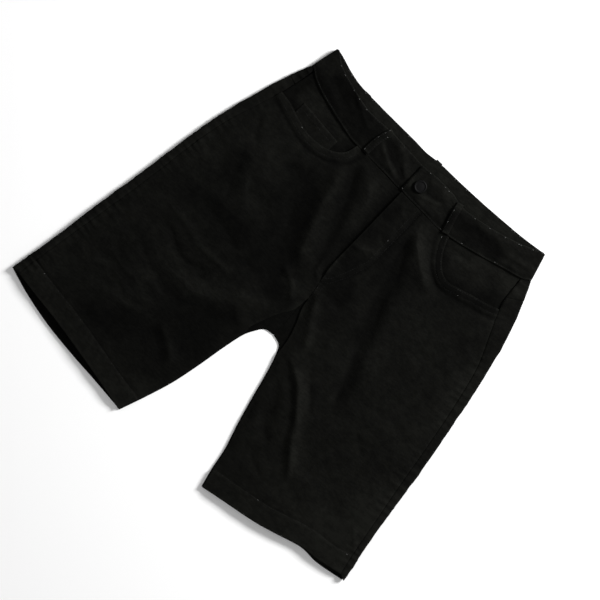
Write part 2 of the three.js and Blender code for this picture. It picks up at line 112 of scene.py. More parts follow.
def chain(*pieces):
    """Several smooth lines end to end, each with its own fractions or number of parts."""
    lines = [smooth(points, at) for points, at in pieces]
    return np.vstack([lines[0]] + [line[1:] for line in lines[1:]])


def spaced(length, step, start=True, end=True):
    """Fractions of a length, a step apart, with a few more at an end whose edge is rounded."""
    lead = np.array([0, 0.3, 0.8, 1.6])
    inner = np.linspace(lead[-1] if start else 0, length - (lead[-1] if end else 0),
                        max(int(length / step), 2))
    return np.r_[lead[:-1] if start else [], inner, (length - lead[:-1][::-1]) if end else []] / length


def net(outer, inner, across, low=None, high=None):
    """Plan points between two side lines, bowed at both ends to the hem line and the top line."""
    v = np.linspace(0, 1, len(outer))[:, None, None]
    u = np.asarray(across)[None, :, None]
    plan = outer[:, None] * (1 - u) + inner[:, None] * u
    for line, share, end in ((low, 1 - v, 0), (high, v, -1)):
        if line is not None:
            straight = plan[end] * 0 + outer[end] * (1 - u[0]) + inner[end] * u[0]
            plan = plan + share * (smooth([outer[end], *line[1:-1], inner[end]], across) - straight)
    return plan


def beside(line, x, y):
    """Distance to a line of points, the way along it, and the side each point lies on."""
    best = np.full(np.shape(x), np.inf)
    along = side = np.zeros(np.shape(x))
    run = 0.0
    for (ax, ay), (bx, by) in zip(line[:-1], line[1:]):
        ex, ey = bx - ax, by - ay
        long = math.hypot(ex, ey)
        t = np.clip(((x - ax) * ex + (y - ay) * ey) / long**2, 0, 1)
        dx, dy = x - ax - t * ex, y - ay - t * ey
        away = np.hypot(dx, dy)
        nearer = away < best
        best = np.where(nearer, away, best)
        along = np.where(nearer, run + t * long, along)
        side = np.where(nearer, np.sign(ex * dy - ey * dx), side)
        run += long
    return best, along, side


def uneven(x, y, size, seed):
    """Smooth random heights from -1 to 1, in patches of about this size."""
    total = 0
    for turn, share in ((0.5, 0.6), (2.1, 0.4)):
        grid = np.random.RandomState(seed).rand(97, 97) * 2 - 1
        gx = (x * math.cos(turn) - y * math.sin(turn)) / size + 31
        gy = (x * math.sin(turn) + y * math.cos(turn)) / size + 31
        ix, iy = np.floor(gx).astype(int), np.floor(gy).astype(int)
        fx, fy = gx - ix, gy - iy
        fx, fy = fx**3 * (fx * (6 * fx - 15) + 10), fy**3 * (fy * (6 * fy - 15) + 10)
        rows = [grid[(ix + a) % 97, iy % 97] * (1 - fy) + grid[(ix + a) % 97, (iy + 1) % 97] * fy
                for a in (0, 1)]
        total = total + share * (rows[0] * (1 - fx) + rows[1] * fx)
    return total * 1.5


def puckers(line, x, y, spacing, high, reach, seed):
    """Small pulls across a sewn seam, unevenly spaced along it and dying out beside it."""
    away, along, _ = beside(line, x, y)
    phase = along / spacing + 0.9 * uneven(along, along * 0 + seed * 9, 34, seed)
    wave = 1 - 2 * np.abs(np.sin(math.pi * phase)) ** 0.8
    strength = np.clip(0.42 + 0.9 * uneven(along, along * 0 + 5 + seed * 7, 38, seed + 1), 0.08, 1.1)
    long = reach * (1 + 0.5 * uneven(along, along * 0 + seed * 5, 10, seed + 2))
    return high * strength * wave * bell(away, long)


def mesh_piece(name, points, faces, material, wear_and_painted_light):
    """A smooth mesh from points in millimetres, with how pale it is at each: its wear and its painted light
    and shade.
    """
    mesh = bpy.data.meshes.new(name)
    mesh.from_pydata((np.asarray(points) * 0.001).tolist(), [], faces)
    mesh.update()
    mesh.shade_smooth()
    shade = mesh.attributes.new("wear_and_painted_light", "FLOAT", "POINT")
    shade.data.foreach_set("value", np.ravel(wear_and_painted_light))
    mesh.materials.append(material)
    piece = bpy.data.objects.new(name, mesh)
    bpy.context.scene.collection.objects.link(piece)
    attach(piece, "root")
    return piece


def edge_round(count, first=True, last=True):
    """How full the cloth is at each line of a net, less at its rounded edges."""
    full = np.ones(count)
    for k, share in enumerate((0.25, 0.7, 0.95)):
        full[k] = share if first else 1
        full[-1 - k] = share if last else 1
    return full


def shell(name, middle, normal, out, inn, material, wear_and_painted_light, inner_wear_and_light=0.1, round_last=True):
    """A closed wall of cloth about a net of middle points, shown in place of the solid of this name."""
    rows, cols = middle.shape[:2]
    full = np.minimum(edge_round(rows, True, round_last)[:, None], edge_round(cols)[None, :])
    out = (np.broadcast_to(out, (rows, cols)) * full)[..., None]
    inn = (np.broadcast_to(inn, (rows, cols)) * full)[..., None]
    points = np.vstack([(middle + normal * out).reshape(-1, 3), (middle - normal * inn).reshape(-1, 3)])
    number = np.arange(rows * cols).reshape(rows, cols)
    a, b, c, d = number[:-1, :-1], number[:-1, 1:], number[1:, 1:], number[1:, :-1]
    top = np.stack([a, b, c, d], -1).reshape(-1, 4)
    under = top[:, ::-1] + rows * cols
    rim = np.r_[number[0, :-1], number[:-1, -1], number[-1, :0:-1], number[:0:-1, 0]]
    ahead = np.roll(rim, -1)
    walls = np.stack([rim, rim + rows * cols, ahead + rows * cols, ahead], -1)
    faces = np.vstack([top, under, walls])
    p = points[top[len(top) // 2, :3]]
    turn = np.cross(p[1] - p[0], p[2] - p[0]) @ normal.reshape(-1, 3)[top[len(top) // 2, 0]]
    if turn < 0:
        faces = faces[:, ::-1]
    wear_and_painted_light = np.ravel(np.broadcast_to(np.clip(wear_and_painted_light, 0, 1), (rows, cols)))
    wear_and_painted_light = np.r_[wear_and_painted_light, wear_and_painted_light * 0 + np.ravel(inner_wear_and_light)]
    piece = mesh_piece(f"{name}_cloth", points, faces.tolist(), material, wear_and_painted_light)
    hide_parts(name)
    return piece


def facing_of(middle):
    """Unit normals of a net of points, pointing up out of the table."""
    du = np.gradient(middle, axis=1)
    dv = np.gradient(middle, axis=0)
    n = np.cross(du, dv)
    n = n / np.linalg.norm(n, axis=2, keepdims=True)
    return n * np.where(n[..., 2:] < 0, -1, 1)


class Socket:
    """A value, colour or vector in a material, for writing its maths as Python."""

    def __init__(self, tree, link):
        self.tree = tree
        self.link = link

    def node(self, kind, settings=None, out=0, **values):
        """Any node of this kind, with its settings first and then its sockets' values or links."""
        made = self.tree.nodes.new(kind)
        for key, value in (settings or {}).items():
            setattr(made, key, value)
        for key, value in values.items():
            numbered = key[0] == "i" and key[1:].isdigit()
            socket = made.inputs[int(key[1:]) if numbered else key.replace("_", " ")]
            if isinstance(value, Socket):
                self.tree.links.new(value.link, socket)
            else:
                socket.default_value = value
        return Socket(self.tree, made.outputs[out])

    def maths(self, kind, *values):
        return self.node("ShaderNodeMath", {"operation": kind}, **{f"i{k}": v for k, v in enumerate(values)})

    def __add__(self, other):
        return self.maths("ADD", self, other)

    def __sub__(self, other):
        return self.maths("SUBTRACT", self, other)

    def __rsub__(self, other):
        return self.maths("SUBTRACT", other, self)

    def __mul__(self, other):
        return self.maths("MULTIPLY", self, other)

    __radd__ = __add__
    __rmul__ = __mul__

    def wave(self, pitch):
        """A ripple from -1 to 1 that repeats at this pitch in metres."""
        return self.maths("SINE", self * (2 * math.pi / pitch))

    def limited(self):
        return self.node("ShaderNodeClamp", Value=self)

    def part(self, axis):
        return self.node("ShaderNodeSeparateXYZ", None, "XYZ".index(axis), Vector=self)

    def stretched(self, x, y, z):
        return self.node("ShaderNodeVectorMath", {"operation": "MULTIPLY"}, i0=self, i1=(x, y, z))

    def noise(self, scale, detail=3.0, rough=0.5):
        return self.node("ShaderNodeTexNoise", Vector=self, Scale=scale, Detail=detail, Roughness=rough)

    def between(self, low, high):
        """This value as a share from low to high, held at both ends."""
        return self.node("ShaderNodeMapRange", {"clamp": True}, Value=self, From_Min=low, From_Max=high)

    def blend(self, dark, light):
        return self.node("ShaderNodeMix", {"data_type": "RGBA"}, 2, i0=self, i6=dark, i7=light)

    def relief(self, strength, deep):
        return self.node("ShaderNodeBump", Strength=strength, Distance=deep, Height=self)

    # the per-point value of wear and of painted light and shade
    def wear_and_painted_light(self):
        return self.node("ShaderNodeAttribute", {"attribute_name": "wear_and_painted_light"}, "Fac")


def new_material(name, specular, sheen=0.0, sheen_rough=0.5):
    material = bpy.data.materials.new(name)
    material.use_nodes = True
    tree = material.node_tree
    shader = tree.nodes["Principled BSDF"]
    shader.inputs["Specular IOR Level"].default_value = specular
    shader.inputs["Sheen Weight"].default_value = sheen
    shader.inputs["Sheen Roughness"].default_value = sheen_rough
    place = Socket(tree, tree.nodes.new("ShaderNodeTexCoord").outputs["Object"])
    return material, shader, place


def wire(shader, **links):
    """Joins what was worked out for a material to its shader."""
    for key, value in links.items():
        shader.id_data.links.new(value.link, shader.inputs[key.replace("_", " ")])


# the darkest and palest colours of the twill; the per-point value reaches the pale one through wear and
# through painted light
BLACK_DYE = (0.0005, 0.0005, 0.00045, 1)
PALE_WORN_AND_LIT_DYE = (0.0054, 0.0055, 0.0045, 1)


def make_denim(name, lean):
    """Black twill whose warp leans this many degrees from straight up the garment."""
    material, shader, place = new_material(name, 0.04, 0.013, 0.4)
    cos, sin = math.cos(math.radians(lean)), math.sin(math.radians(lean))
    across = place.part("X") * cos + place.part("Y") * sin
    along = place.part("Y") * cos - place.part("X") * sin
    twill = (across * 0.94 + along * 0.5).wave(0.00105) * 0.5 + 0.5
    yarn = across.wave(0.00062) * 0.5 + 0.5
    streak = place.node("ShaderNodeCombineXYZ", X=across, Y=along * 0.06, Z=0.0).noise(900, 2.0)
    speck = place.noise(700, 2.0)
    mottle = place.noise(85, 4.0, 0.62)
    cloud = place.noise(14, 3.0)
    slub = place.stretched(1, 2.6, 1).noise(150, 3.0, 0.6)
    fade = (mottle.between(0.38, 0.66) * 0.22 + cloud.between(0.35, 0.65) * 0.1 + streak * 0.12
            + slub.between(0.4, 0.66) * 0.26 + speck.between(0.45, 0.75) * 0.16 + twill * 0.06)
    # the per-point value adds wear and painted light and shade to the procedural fading
    tone = (fade * 0.5 + place.wear_and_painted_light() * (fade * 1.1 + 0.35)).limited()
    weave = twill * 0.5 + yarn * 0.2 + speck * 0.5 + mottle * 0.9
    wire(shader, Base_Color=tone.blend(BLACK_DYE, PALE_WORN_AND_LIT_DYE), Roughness=0.98 - tone * 0.16,
         Normal=weave.relief(0.45, 0.00035))
    return material


denim = {"right": make_denim("denim_right_leg", -12), "left": make_denim("denim_left_leg", 12)}

# small creases pressed into the back of each leg while it lies under the front
BACK_CREASES = [
    ([(-215, -60), (-170, -75), (-120, -72)], 9, 1.3),
    ([(-240, -150), (-190, -140), (-130, -155)], 10, 1.4),
    ([(-60, -90), (-95, -120), (-110, -165)], 9, 1.3), ([(-60, -20), (-100, 10), (-140, 20)], 10, 1.0),
    ([(60, -90), (110, -110), (170, -150)], 10, 1.5), ([(90, -20), (140, -45), (200, -50)], 9, 1.2),
    ([(140, -190), (190, -180), (240, -190)], 9, 1.2), ([(60, 10), (100, 20), (150, 10)], 10, 1.0),
]
# patches of painted light and shade where folds are lit or shadowed, and a few paler worn places: place,
# reach across and up, and amount
FADE_LIGHT_AND_SHADE_PATCHES = [
    (-150, 112, 40, 40, 0.16), (-60, -120, 42, 60, -0.24), (-140, -190, 78, 20, -0.22),
    (-74, 60, 26, 75, -0.34), (-160, 0, 62, 20, -0.22), (-268, -110, 24, 130, 0.2),
    (172, 80, 34, 60, -0.05), (238, 50, 24, 70, 0.32), (57, 98, 8, 32, -0.2), (33, 42, 13, 12, -0.8),
    (112, -108, 40, 60, 0.08), (235, -190, 60, 28, 0.36), (-238, 40, 20, 60, 0.16), (-8, 140, 9, 60, -0.2),
    (192, 203, 17, 9, 0.8), (-138, 195, 38, 12, 0.3), (118, 181, 30, 11, 0.25), (178, 177, 14, 10, -0.35),
    (-128, 224, 52, 17, -0.75), (122, 218, 42, 12, -0.5), (74, 210, 6, 16, -0.3), (17, 78, 13, 14, -0.6),
    (12, 163, 8, 13, -0.35), (12, 125, 10, 9, -0.4), (31, 121, 6, 10, 0.25), (48, 124, 8, 30, -0.35),
    (200, -4, 30, 30, -0.2), (112, -134, 14, 12, 0.3), (10, 194, 62, 4.5, -0.3), (-100, 246, 90, 6, 0.1),
    (110, 246, 90, 6, 0.2), (-150, -250, 90, 9, 0.15), (150, -245, 90, 12, 0.12), (-60, -60, 50, 16, 0.12),
    (70, 142, 18, 14, 0.32), (88, -108, 12, 12, 0.25), (-62, 150, 10, 20, -0.15), (10, -30, 24, 34, -0.16),
    (286, -110, 13, 120, 0.28), (-191, 198, 8, 24, -0.6), (0, 212, 2.5, 12, 0.5), (1, 205, 3, 3, 0.8),
    (-2, 142, 5, 58, -0.7), (260, -150, 30, 66, 0.42), (250, -72, 26, 14, -0.25), (-63, 235, 8, 5, 0.5),
    (68, 229, 7, 4, 0.7), (-79, 186, 3, 6, 0.5), (90, 186, 3, 5, 0.3), (-25, 5, 14, 6, 0.45),
    (-92, 86, 26, 20, -0.3), (-68, 50, 20, 26, -0.45), (-48, 16, 13, 18, -0.4), (-27, -18, 14, 10, -0.35),
    (-118, 116, 15, 9, -0.3), (-180, 62, 12, 34, -0.32), (-168, 6, 52, 15, -0.25), (-35, -14, 14, 12, -0.3),
    (16, -20, 10, 26, 0.2), (25, 104, 13, 4, 0.75), (-240, -160, 30, 40, 0.12), (-235, 120, 13, 45, 0.25),
    (-213, 204, 11, 28, 0.5), (-188, 246, 14, 12, 0.3), (-240, -238, 60, 10, 0.2),
    (-88, 165, 26, 12, -0.28), (10, 187, 52, 9, -0.16), (148, 137, 42, 10, -0.36), (2, 10, 22, 9, 0.25),
    (14, -12, 10, 10, 0.35), (45, -35, 18, 14, 0.18), (-118, -62, 30, 9, -0.2), (190, -200, 50, 18, 0.15),
    (100, 212, 26, 11, -0.3), (-60, 240, 60, 5, 0.15), (2, 58, 2.5, 16, 0.5), (275, -210, 18, 16, 0.3),
    (70, -232, 12, 22, 0.3), (-62, -230, 12, 22, 0.25),
]
SIDE_LINE = {side: smooth(SIDE_SEAM[side] + SIDE_SEAM_TOP[side][1:], 70) for side in OUTWARD}
SEAM_PULL = {"right": 11.0, "left": 12.5}


def fold_sum(folds, x, y):
    """Height of soft ridges and troughs: each a line, a half-width, a height and a lean."""
    total = np.zeros(np.shape(x))
    for points, wide, high, *lean in folds:
        line = smooth(points, 16)
        away, along, side = beside(line, x, y)
        span = length_of(points)
        fade = ramp(0, 0.2, along / span) * ramp(0, 0.2, 1 - along / span)
        width = wide * (1 + side * (lean[0] if lean else 0))
        crest = 0.62 * bell(away, width) + 0.38 * np.exp(-away / (0.6 * width))
        total += high * fade * crest
    return total


def fade_light_and_shade(x, y):
    """How much paler or darker the cloth is at a place: random fading, a painted light falloff across it,
    and the patches of painted light, shade and wear.
    """
    total = 0.12 * uneven(x, y, 34, 41) + 0.1 * uneven(x * 0.45, y, 9, 42) + 0.0003 * x
    for px, py, rx, ry, amount in FADE_LIGHT_AND_SHADE_PATCHES:
        total = total + amount * bell(x - px, rx) * bell(y - py, ry)
    return total


def channels(lines, x, y, deep=0.3, wide=1.5):
    """The shallow channels that rows of topstitching pull into the cloth."""
    return deep * bell(np.min([beside(line, x, y)[0] for line in lines], axis=0), wide)


def back_shell(name, side, outer, lip, inner, across, ends, hem_rows, stitched):
    """A back piece: flat on the table, turned over at the outseam, its lip ending at the side seam."""
    flat = net(outer, inner, across, *ends)[:, ::-1]
    rows = len(outer)
    x, y = flat[..., 0], flat[..., 1]
    away = np.abs(x - outer[:, None, 0])
    lift = fold_sum(BACK_CREASES, x, y) * ramp(60, 20, y) * ramp(6, 24, away)
    flat_points = np.dstack([x, y, HALF + lift])
    out = outer - lip
    out = out / np.hypot(*out.T)[:, None]
    hub = outer - out * (ROLL + HALF)
    turns = np.linspace(0, math.pi, 13)
    ring = np.zeros((rows, len(turns), 3))
    ring_out = np.zeros_like(ring)
    for k, turn in enumerate(turns):
        n = np.column_stack([out * math.sin(turn), np.full(rows, -math.cos(turn))])
        ring[:, k, :2] = hub + n[:, :2] * ROLL
        ring[:, k, 2] = HALF + ROLL + n[:, 2] * ROLL
        ring_out[:, k] = n
    share = np.r_[np.linspace(0.1, 0.8, 7), 0.9, 0.95, 1][None, :, None]
    lip_plan = ring[:, -1:, :2] * (1 - share) + lip[:, None] * share
    lip_points = np.dstack([lip_plan, np.full(lip_plan.shape[:2], FRONT_LIFT)])
    middle = np.concatenate([flat_points[:, :-1], ring, lip_points], 1)
    down = np.broadcast_to([0.0, 0, -1], flat_points[:, :-1].shape)
    normal = np.concatenate([down, ring_out, np.broadcast_to([0.0, 0, 1], lip_points.shape)], 1)
    x, y = middle[..., 0], middle[..., 1]
    upper = np.clip(normal[..., 2], 0, 1)
    pull = puckers(SIDE_LINE[side], x, y, SEAM_PULL[side], 1.3, 13, 3)
    to_seam = beside(SIDE_LINE[side], x, y)[0]
    middle[..., 2] += upper * (pull - 0.5 * bell(to_seam, 1.7))
    around = np.clip(1 - np.abs(normal[..., 2]), 0, 1)
    waver = around * 0.6 * (pull + uneven(y, y * 0 + 9, 15, 61))
    middle[..., :2] += normal[..., :2] * waver[..., None]
    inside = HALF + np.where(np.arange(rows) < hem_rows, HEM_EXTRA, 0)[:, None]
    under = HALF - channels(stitched, x, y) * (normal[..., 2] < -0.9)
    # paler along the side seam from wear, paler on pucker tops and darker between them (wear with painted
    # shade), and paler round the turned outseam, partly wear on the fold and partly a painted rim highlight
    lit_and_worn = upper * (0.12 * bell(to_seam, 4) + 0.2 * np.clip(pull, -1, 1)) + around * 0.3
    tone = 0.34 + fade_light_and_shade(x, y) + lit_and_worn
    # painted light on the inside of the back at the wearer's left hem, where it lies in the front's shadow
    hem_inside_painted_light = 0.02 + 0.8 * bell(x - 256, 50) * bell(y + 230, 24)
    return shell(name, middle, normal, under, inside, denim[side], tone, hem_inside_painted_light, hem_rows > 0)


def sew(name, runs, glint_share=0.03, long=2.5, pitch=3.3, thick=0.46):
    """Rows of topstitching along runs of points and normals, joined in one mesh of short threads."""
    points, faces, lit_and_worn = [], [], []
    chance = np.random.RandomState(len(name) + len(runs))
    rings = ((-0.5, 0.3, -0.14), (-0.3, 0.9, 0.0), (0.0, 1.0, 0.06), (0.3, 0.9, 0.0), (0.5, 0.3, -0.14))
    for run, up in runs:
        run, up = np.asarray(run, float), np.asarray(up, float)
        reach = np.r_[0, np.cumsum(np.linalg.norm(np.diff(run, axis=0), axis=1))]
        count = int(reach[-1] / pitch)
        for centre in (np.arange(count) + 0.5) * reach[-1] / max(count, 1):
            at = [np.interp(centre + s * long, reach, run[:, k]) for s in (-0.5, 0, 0.5) for k in range(3)]
            a, b, c = np.array(at).reshape(3, 3)
            n = np.array([np.interp(centre, reach, up[:, k]) for k in range(3)])
            along = (c - a) / np.linalg.norm(c - a)
            side = np.cross(n, along)
            first = len(points)
            # a few stitches, picked at random, carry a painted glint
            lit_and_worn += [float(chance.rand() < glint_share)] * 20
            for s, full, lift in rings:
                mid = b + along * s * long + n * lift
                for turn in (0, math.pi / 2, math.pi, 3 * math.pi / 2):
                    spoke = side * math.cos(turn) + n * math.sin(turn) * 0.8
                    points.append(mid + spoke * full * thick / 2)
            for ring in range(4):
                for k in range(4):
                    q = first + ring * 4
                    faces.append((q + k, q + (k + 1) % 4, q + 4 + (k + 1) % 4, q + 4 + k))
            faces.append((first + 3, first + 2, first + 1, first))
            faces.append((first + 16, first + 17, first + 18, first + 19))
    piece = mesh_piece(name, points, faces, sewing_thread, lit_and_worn)
    return piece


def run_along(points, height, up=1, step=1.5):
    """A sewing line over a surface given by its height."""
    line = smooth(points, max(int(length_of(points) / step), 2))
    return np.column_stack([line, height(line[:, 0], line[:, 1])]), np.tile([0, 0, up], (len(line), 1))


def moved(points, by, start=0, end=1):
    """The line a distance to the left of this one, between two fractions of its length."""
    line = smooth(points, np.linspace(start, end, 16))
    ahead = np.gradient(line, axis=0)
    ahead /= np.hypot(*ahead.T)[:, None]
    return line + np.column_stack([-ahead[:, 1], ahead[:, 0]]) * by


def bartack(x, y, turn, height, long=9, up=1):
    """A close zigzag of thread across a place that takes strain."""
    along = np.array([math.cos(turn), math.sin(turn)])
    side = np.array([-along[1], along[0]])
    runs = []
    for k in np.arange(-long / 2, long / 2, 0.75):
        ends = np.array([(x, y) + along * k - side * 1.3, (x, y) + along * (k + 0.3) + side * 1.3])
        z = height(ends[:, 0], ends[:, 1])
        runs.append((np.column_stack([ends, z]), np.tile([0, 0, up], (2, 1))))
    return runs


sewing_thread, thread_shader, place = new_material("sewing_thread", 0.06, 0.02, 0.4)
ply = (place.part("X") + place.part("Y")).wave(0.0005) * 0.5 + 0.5
# the pale thread colour is a painted glint on the few stitches picked in sew; the rest stay near black
shade = (place.noise(170, 2.0).between(0.5, 0.8) * 0.15 + ply * 0.04 + place.wear_and_painted_light() * 0.9).limited()
wire(thread_shader, Base_Color=shade.blend((0.0012, 0.0012, 0.0012, 1), (0.12, 0.12, 0.118, 1)),
     Roughness=0.75 - shade * 0.15, Normal=ply.relief(0.4, 0.0001))


def underneath(x, y):
    """The level of a row of stitches in its channel on the underside."""
    return x * 0 + 0.3


UNDER_CROTCH = {"right": (-4, -61), "left": (23, -63)}
TWO_ROWS = (2, 8)
YOKE_END = 0.8
HEM_NET, LEG_NET = spaced(HEM, 2.2), spaced(420, 2.3)[1:]
# how much of the outseam, of the inside line and of the inseam alone the hem takes up
HEM_OUTSEAM, HEM_INSIDE, HEM_INSEAM = 0.06, 0.065, 0.13


def hem_and_leg(line, hem):
    """A side line as points that stand closer in its hem than up the leg."""
    return np.vstack([smooth(line, hem * HEM_NET), smooth(line, hem + (1 - hem) * LEG_NET)])


def seam_end(side):
    """Where the yoke seam meets the side seam."""
    return tuple(smooth(SIDE_SEAM_TOP[side][:2], [YOKE_END])[0])


for side, sign in OUTWARD.items():
    outer = hem_and_leg(OUTSEAM[side], HEM_OUTSEAM)
    lip = hem_and_leg([*SIDE_SEAM[side], seam_end(side)], HEM_OUTSEAM)
    centre = [(x - sign * FELLED / 2, y) for x, y in CENTRE_BACK]
    up = chain((INSEAM[side] + [UNDER_CROTCH[side]] + centre[:1], 60), (centre, 60))
    inner = hem_and_leg(up, HEM_INSIDE)
    hem_row = [*smooth(OUTSEAM[side], [HEM_OUTSEAM]), *[(x, y + HEM) for x, y in HEM_BACK[side][1:-1]],
               *smooth(INSEAM[side], [HEM_INSEAM])]
    seat_rows = [moved(centre, -sign * by, 0.02, 0.99) for by in TWO_ROWS]
    panel = back_shell(f"back_panel_{side}", side, outer, lip, inner, spaced(215, 2.5, False, True),
                       (HEM_BACK[side], None), len(HEM_NET), [smooth(hem_row, 40), *seat_rows[:1]])
    rows = [hem_row, *(seat_rows if side == "left" else [])]
    threads = sew(f"back_stitching_{side}", [run_along(row, underneath, -1) for row in rows])


# --- Back yokes ---
# The two tapered pieces between the seat and the waistband, of the same twill.
# Each is felled to its back panel and to the other, with two rows of stitching.
HIP = {
    "right": [(-209, 200), (-203, 215), (-197.2, 228.3)],
    "left": [(214, 198), (208, 212), (203.2, 222.3)],
}
YOKE_TIP, YOKE_TOP = 145, 209.2
BAND_LOW_BACK = [(-192.75, 228), (-160, 216), (-100, 211), (0, 210), (100, 212), (160, 217), (198.75, 222)]
waist_seam = smooth(BAND_LOW_BACK, 80)

for side, sign in OUTWARD.items():
    rise = spaced(30, 1.8)
    x = 3 - sign * FELLED / 2
    outer = smooth([(a, b + SEAM_GAP * (1 + 2 * k)) for k, (a, b) in enumerate(HIP[side])], rise)
    lip = smooth([np.add(seam_end(side), (0, SEAM_GAP)), *SIDE_SEAM_TOP[side][1:]], rise)
    inner = smooth([(x, YOKE_TIP + SEAM_GAP), (x, YOKE_TOP)], rise)
    rows = [moved([outer[0], inner[0]], -sign * by, 0.02, 0.97) for by in TWO_ROWS]
    joins = [moved([(x, 146), (x, 208)], -sign * by) for by in TWO_ROWS]
    along = np.linspace(outer[-1, 0], x, 12)
    top = np.column_stack([along, np.interp(along, *waist_seam.T) - SEAM_GAP])
    inner[:, 1] += (top[-1, 1] - YOKE_TOP) * rise
    piece = back_shell(f"back_yoke_{side}", side, outer, lip, inner, spaced(205, 2.4, False, True),
                       (None, list(top)), 0, [rows[0], joins[0]])
    rows += joins if side == "left" else []
    threads = sew(f"yoke_stitching_{side}", [run_along(row, underneath, -1) for row in rows])


# --- Pockets ---
# The denim facing that shows inside each front pocket mouth, the thin cotton bag
# behind it, and the small coin pocket sewn on the wearer's right facing.
FACING_MID = 3.9
BAG_MID = 2.3
THIN = 1.2
MOUTH = {
    "right": [(-201, 177), (-180, 173), (-160, 166), (-138, 161), (-115, 162), (-98, 168), (-87, 178),
              (-82, 193.6)],
    "left": [(198, 168), (180, 162), (160, 157), (140, 151), (127, 147.5), (113, 151), (99, 164),
             (90, 179), (86, 190.5)],
}
FACING = {
    "right": ([(-207, 158), (-200.6, 177), (-194.6, 200), (-188.8, 225)],
              [(-72, 158), (-73, 175), (-74, 197)],
              [(-207, 158), (-160, 146), (-110, 143), (-72, 158)],
              [(-188.8, 225), (-160, 215), (-130, 207), (-100, 200), (-74, 197)]),
    "left": ([(204, 150), (197.6, 168), (192.6, 190), (189.6, 219)], [(75, 158), (75.5, 175), (76, 193)],
             [(204, 150), (160, 136), (110, 132), (75, 158)],
             [(189.6, 219), (160, 213), (130, 205), (100, 198), (76, 193)]),
}
BAG = {
    "right": ([(-175, 62), (-198, 110), (-197, 165), (-190, 205)],
              [(-85, 62), (-64, 110), (-62, 160), (-64, 191)],
              [(-175, 62), (-130, 50), (-85, 62)]),
    "left": ([(180, 52), (203, 100), (200, 155), (192, 200)], [(90, 52), (68, 100), (66, 150), (68, 188)],
             [(180, 52), (135, 40), (90, 52)]),
}
FACING_FOLDS = [
    ([(-190, 196), (-160, 204), (-120, 196), (-98, 190)], 7, 1.0),
    ([(-195, 178), (-189, 200), (-185, 218)], 6, -0.7), ([(-176, 180), (-150, 178), (-120, 172)], 5, 0.5),
    ([(-97, 191), (-101, 184), (-104, 176)], 3, -0.8), ([(90, 181), (110, 184), (130, 186)], 3, -0.8),
    ([(95, 172), (120, 178), (150, 180)], 5, 0.6), ([(138, 186), (148, 185), (158, 184)], 5, 0.7),
    ([(120, 196), (150, 198), (180, 200)], 7, 0.8), ([(193, 168), (194, 180), (195, 192)], 4, -0.8),
    ([(165, 205), (180, 200), (190, 196)], 6, 0.9),
]
FACING_TOP = {side: smooth(FACING[side][3], 30) for side in OUTWARD}


def facing_height(x, y):
    to_band = beside(FACING_TOP["right" if np.mean(x) < 0 else "left"], x, y)[0]
    low = FACING_MID + 0.3 + fold_sum(FACING_FOLDS, x, y) * 0.9 + 0.3 * uneven(x, y, 18, 21)
    return low + (4.85 - low) * ramp(20, 6, to_band)


pocket_cloth, cotton_shader, place = new_material("pocket_cotton", 0.15, 0.05, 0.5)
plain_weave = place.part("X").wave(0.0005) * place.part("Y").wave(0.0005)
slub = place.stretched(1, 0.15, 1).noise(500, 2.0)
shade = (slub.between(0.3, 0.7) * 0.6 + place.noise(40, 3.0).between(0.3, 0.7) * 0.4).limited()
wire(cotton_shader, Base_Color=shade.blend((0.011, 0.011, 0.012, 1), (0.02, 0.02, 0.021, 1)),
     Roughness=0.95 - shade * 0.1, Normal=(plain_weave + slub).relief(0.5, 0.00015))


def flat_shell(name, plan, height, thick, material, lit_and_worn=0.35):
    """A piece of cloth lying on a plan net at a given height."""
    x, y = plan[..., 0], plan[..., 1]
    middle = np.dstack([x, y, height(x, y)])
    return shell(name, middle, facing_of(middle), thick / 2, thick / 2, material, lit_and_worn)


def laid_net(outer, inner, up, across, low=None, high=None):
    """A net between two sides, from its length and step up and across."""
    return net(smooth(outer, spaced(*up)), smooth(inner, spaced(*up)), spaced(*across), low, high)


def bag_height(x, y):
    return BAG_MID + 0.15 * uneven(x, y, 30, 5)


for side in OUTWARD:
    outer, inner, low, high = FACING[side]
    plan = laid_net(outer, inner, (60, 2.0), (125, 2.2), low, high)
    x, y = plan[..., 0], plan[..., 1]
    # painted shadow: the facing is darker close under the pocket mouth, and its fold ridges are painted
    # lighter and its troughs darker
    mouth_shadow = bell(beside(smooth(MOUTH[side], 30), x, y)[0], 9)
    tone = 0.42 - 0.42 * mouth_shadow + fade_light_and_shade(x, y) + 0.1 * fold_sum(FACING_FOLDS, x, y)
    facing = flat_shell(f"pocket_facing_{side}", plan, facing_height, DENIM, denim[side], tone)
    outer, inner, low = BAG[side]
    plan = laid_net(outer, inner, (145, 4), (110, 4), low)
    bag = flat_shell(f"pocket_bag_{side}", plan, bag_height, THIN, pocket_cloth)


def coin_height(x, y):
    return facing_height(x, y) + HALF + THIN / 2 + 0.25


def coin_top(x, y):
    return coin_height(x, y) + THIN / 2


COIN_ROWS = [[(-168, 185), (-106, 178.5)], [(-168, 179), (-106, 172.5)], [(-168, 184), (-170, 152)],
             [(-106, 178), (-108, 152)]]
coin_plan = laid_net([(-172, 151), (-170, 187)], [(-106, 150), (-104, 180)], (36, 1.6), (66, 2.0))
below_top = 187 - (coin_plan[..., 0] + 170) * 0.106 - coin_plan[..., 1]
tone = 0.4 + 0.5 * ramp(4, 0, below_top)
coin = flat_shell("coin_pocket", coin_plan, coin_height, THIN, denim["right"], tone)
coin_threads = sew("coin_pocket_stitching", [run_along(row, coin_top) for row in COIN_ROWS])


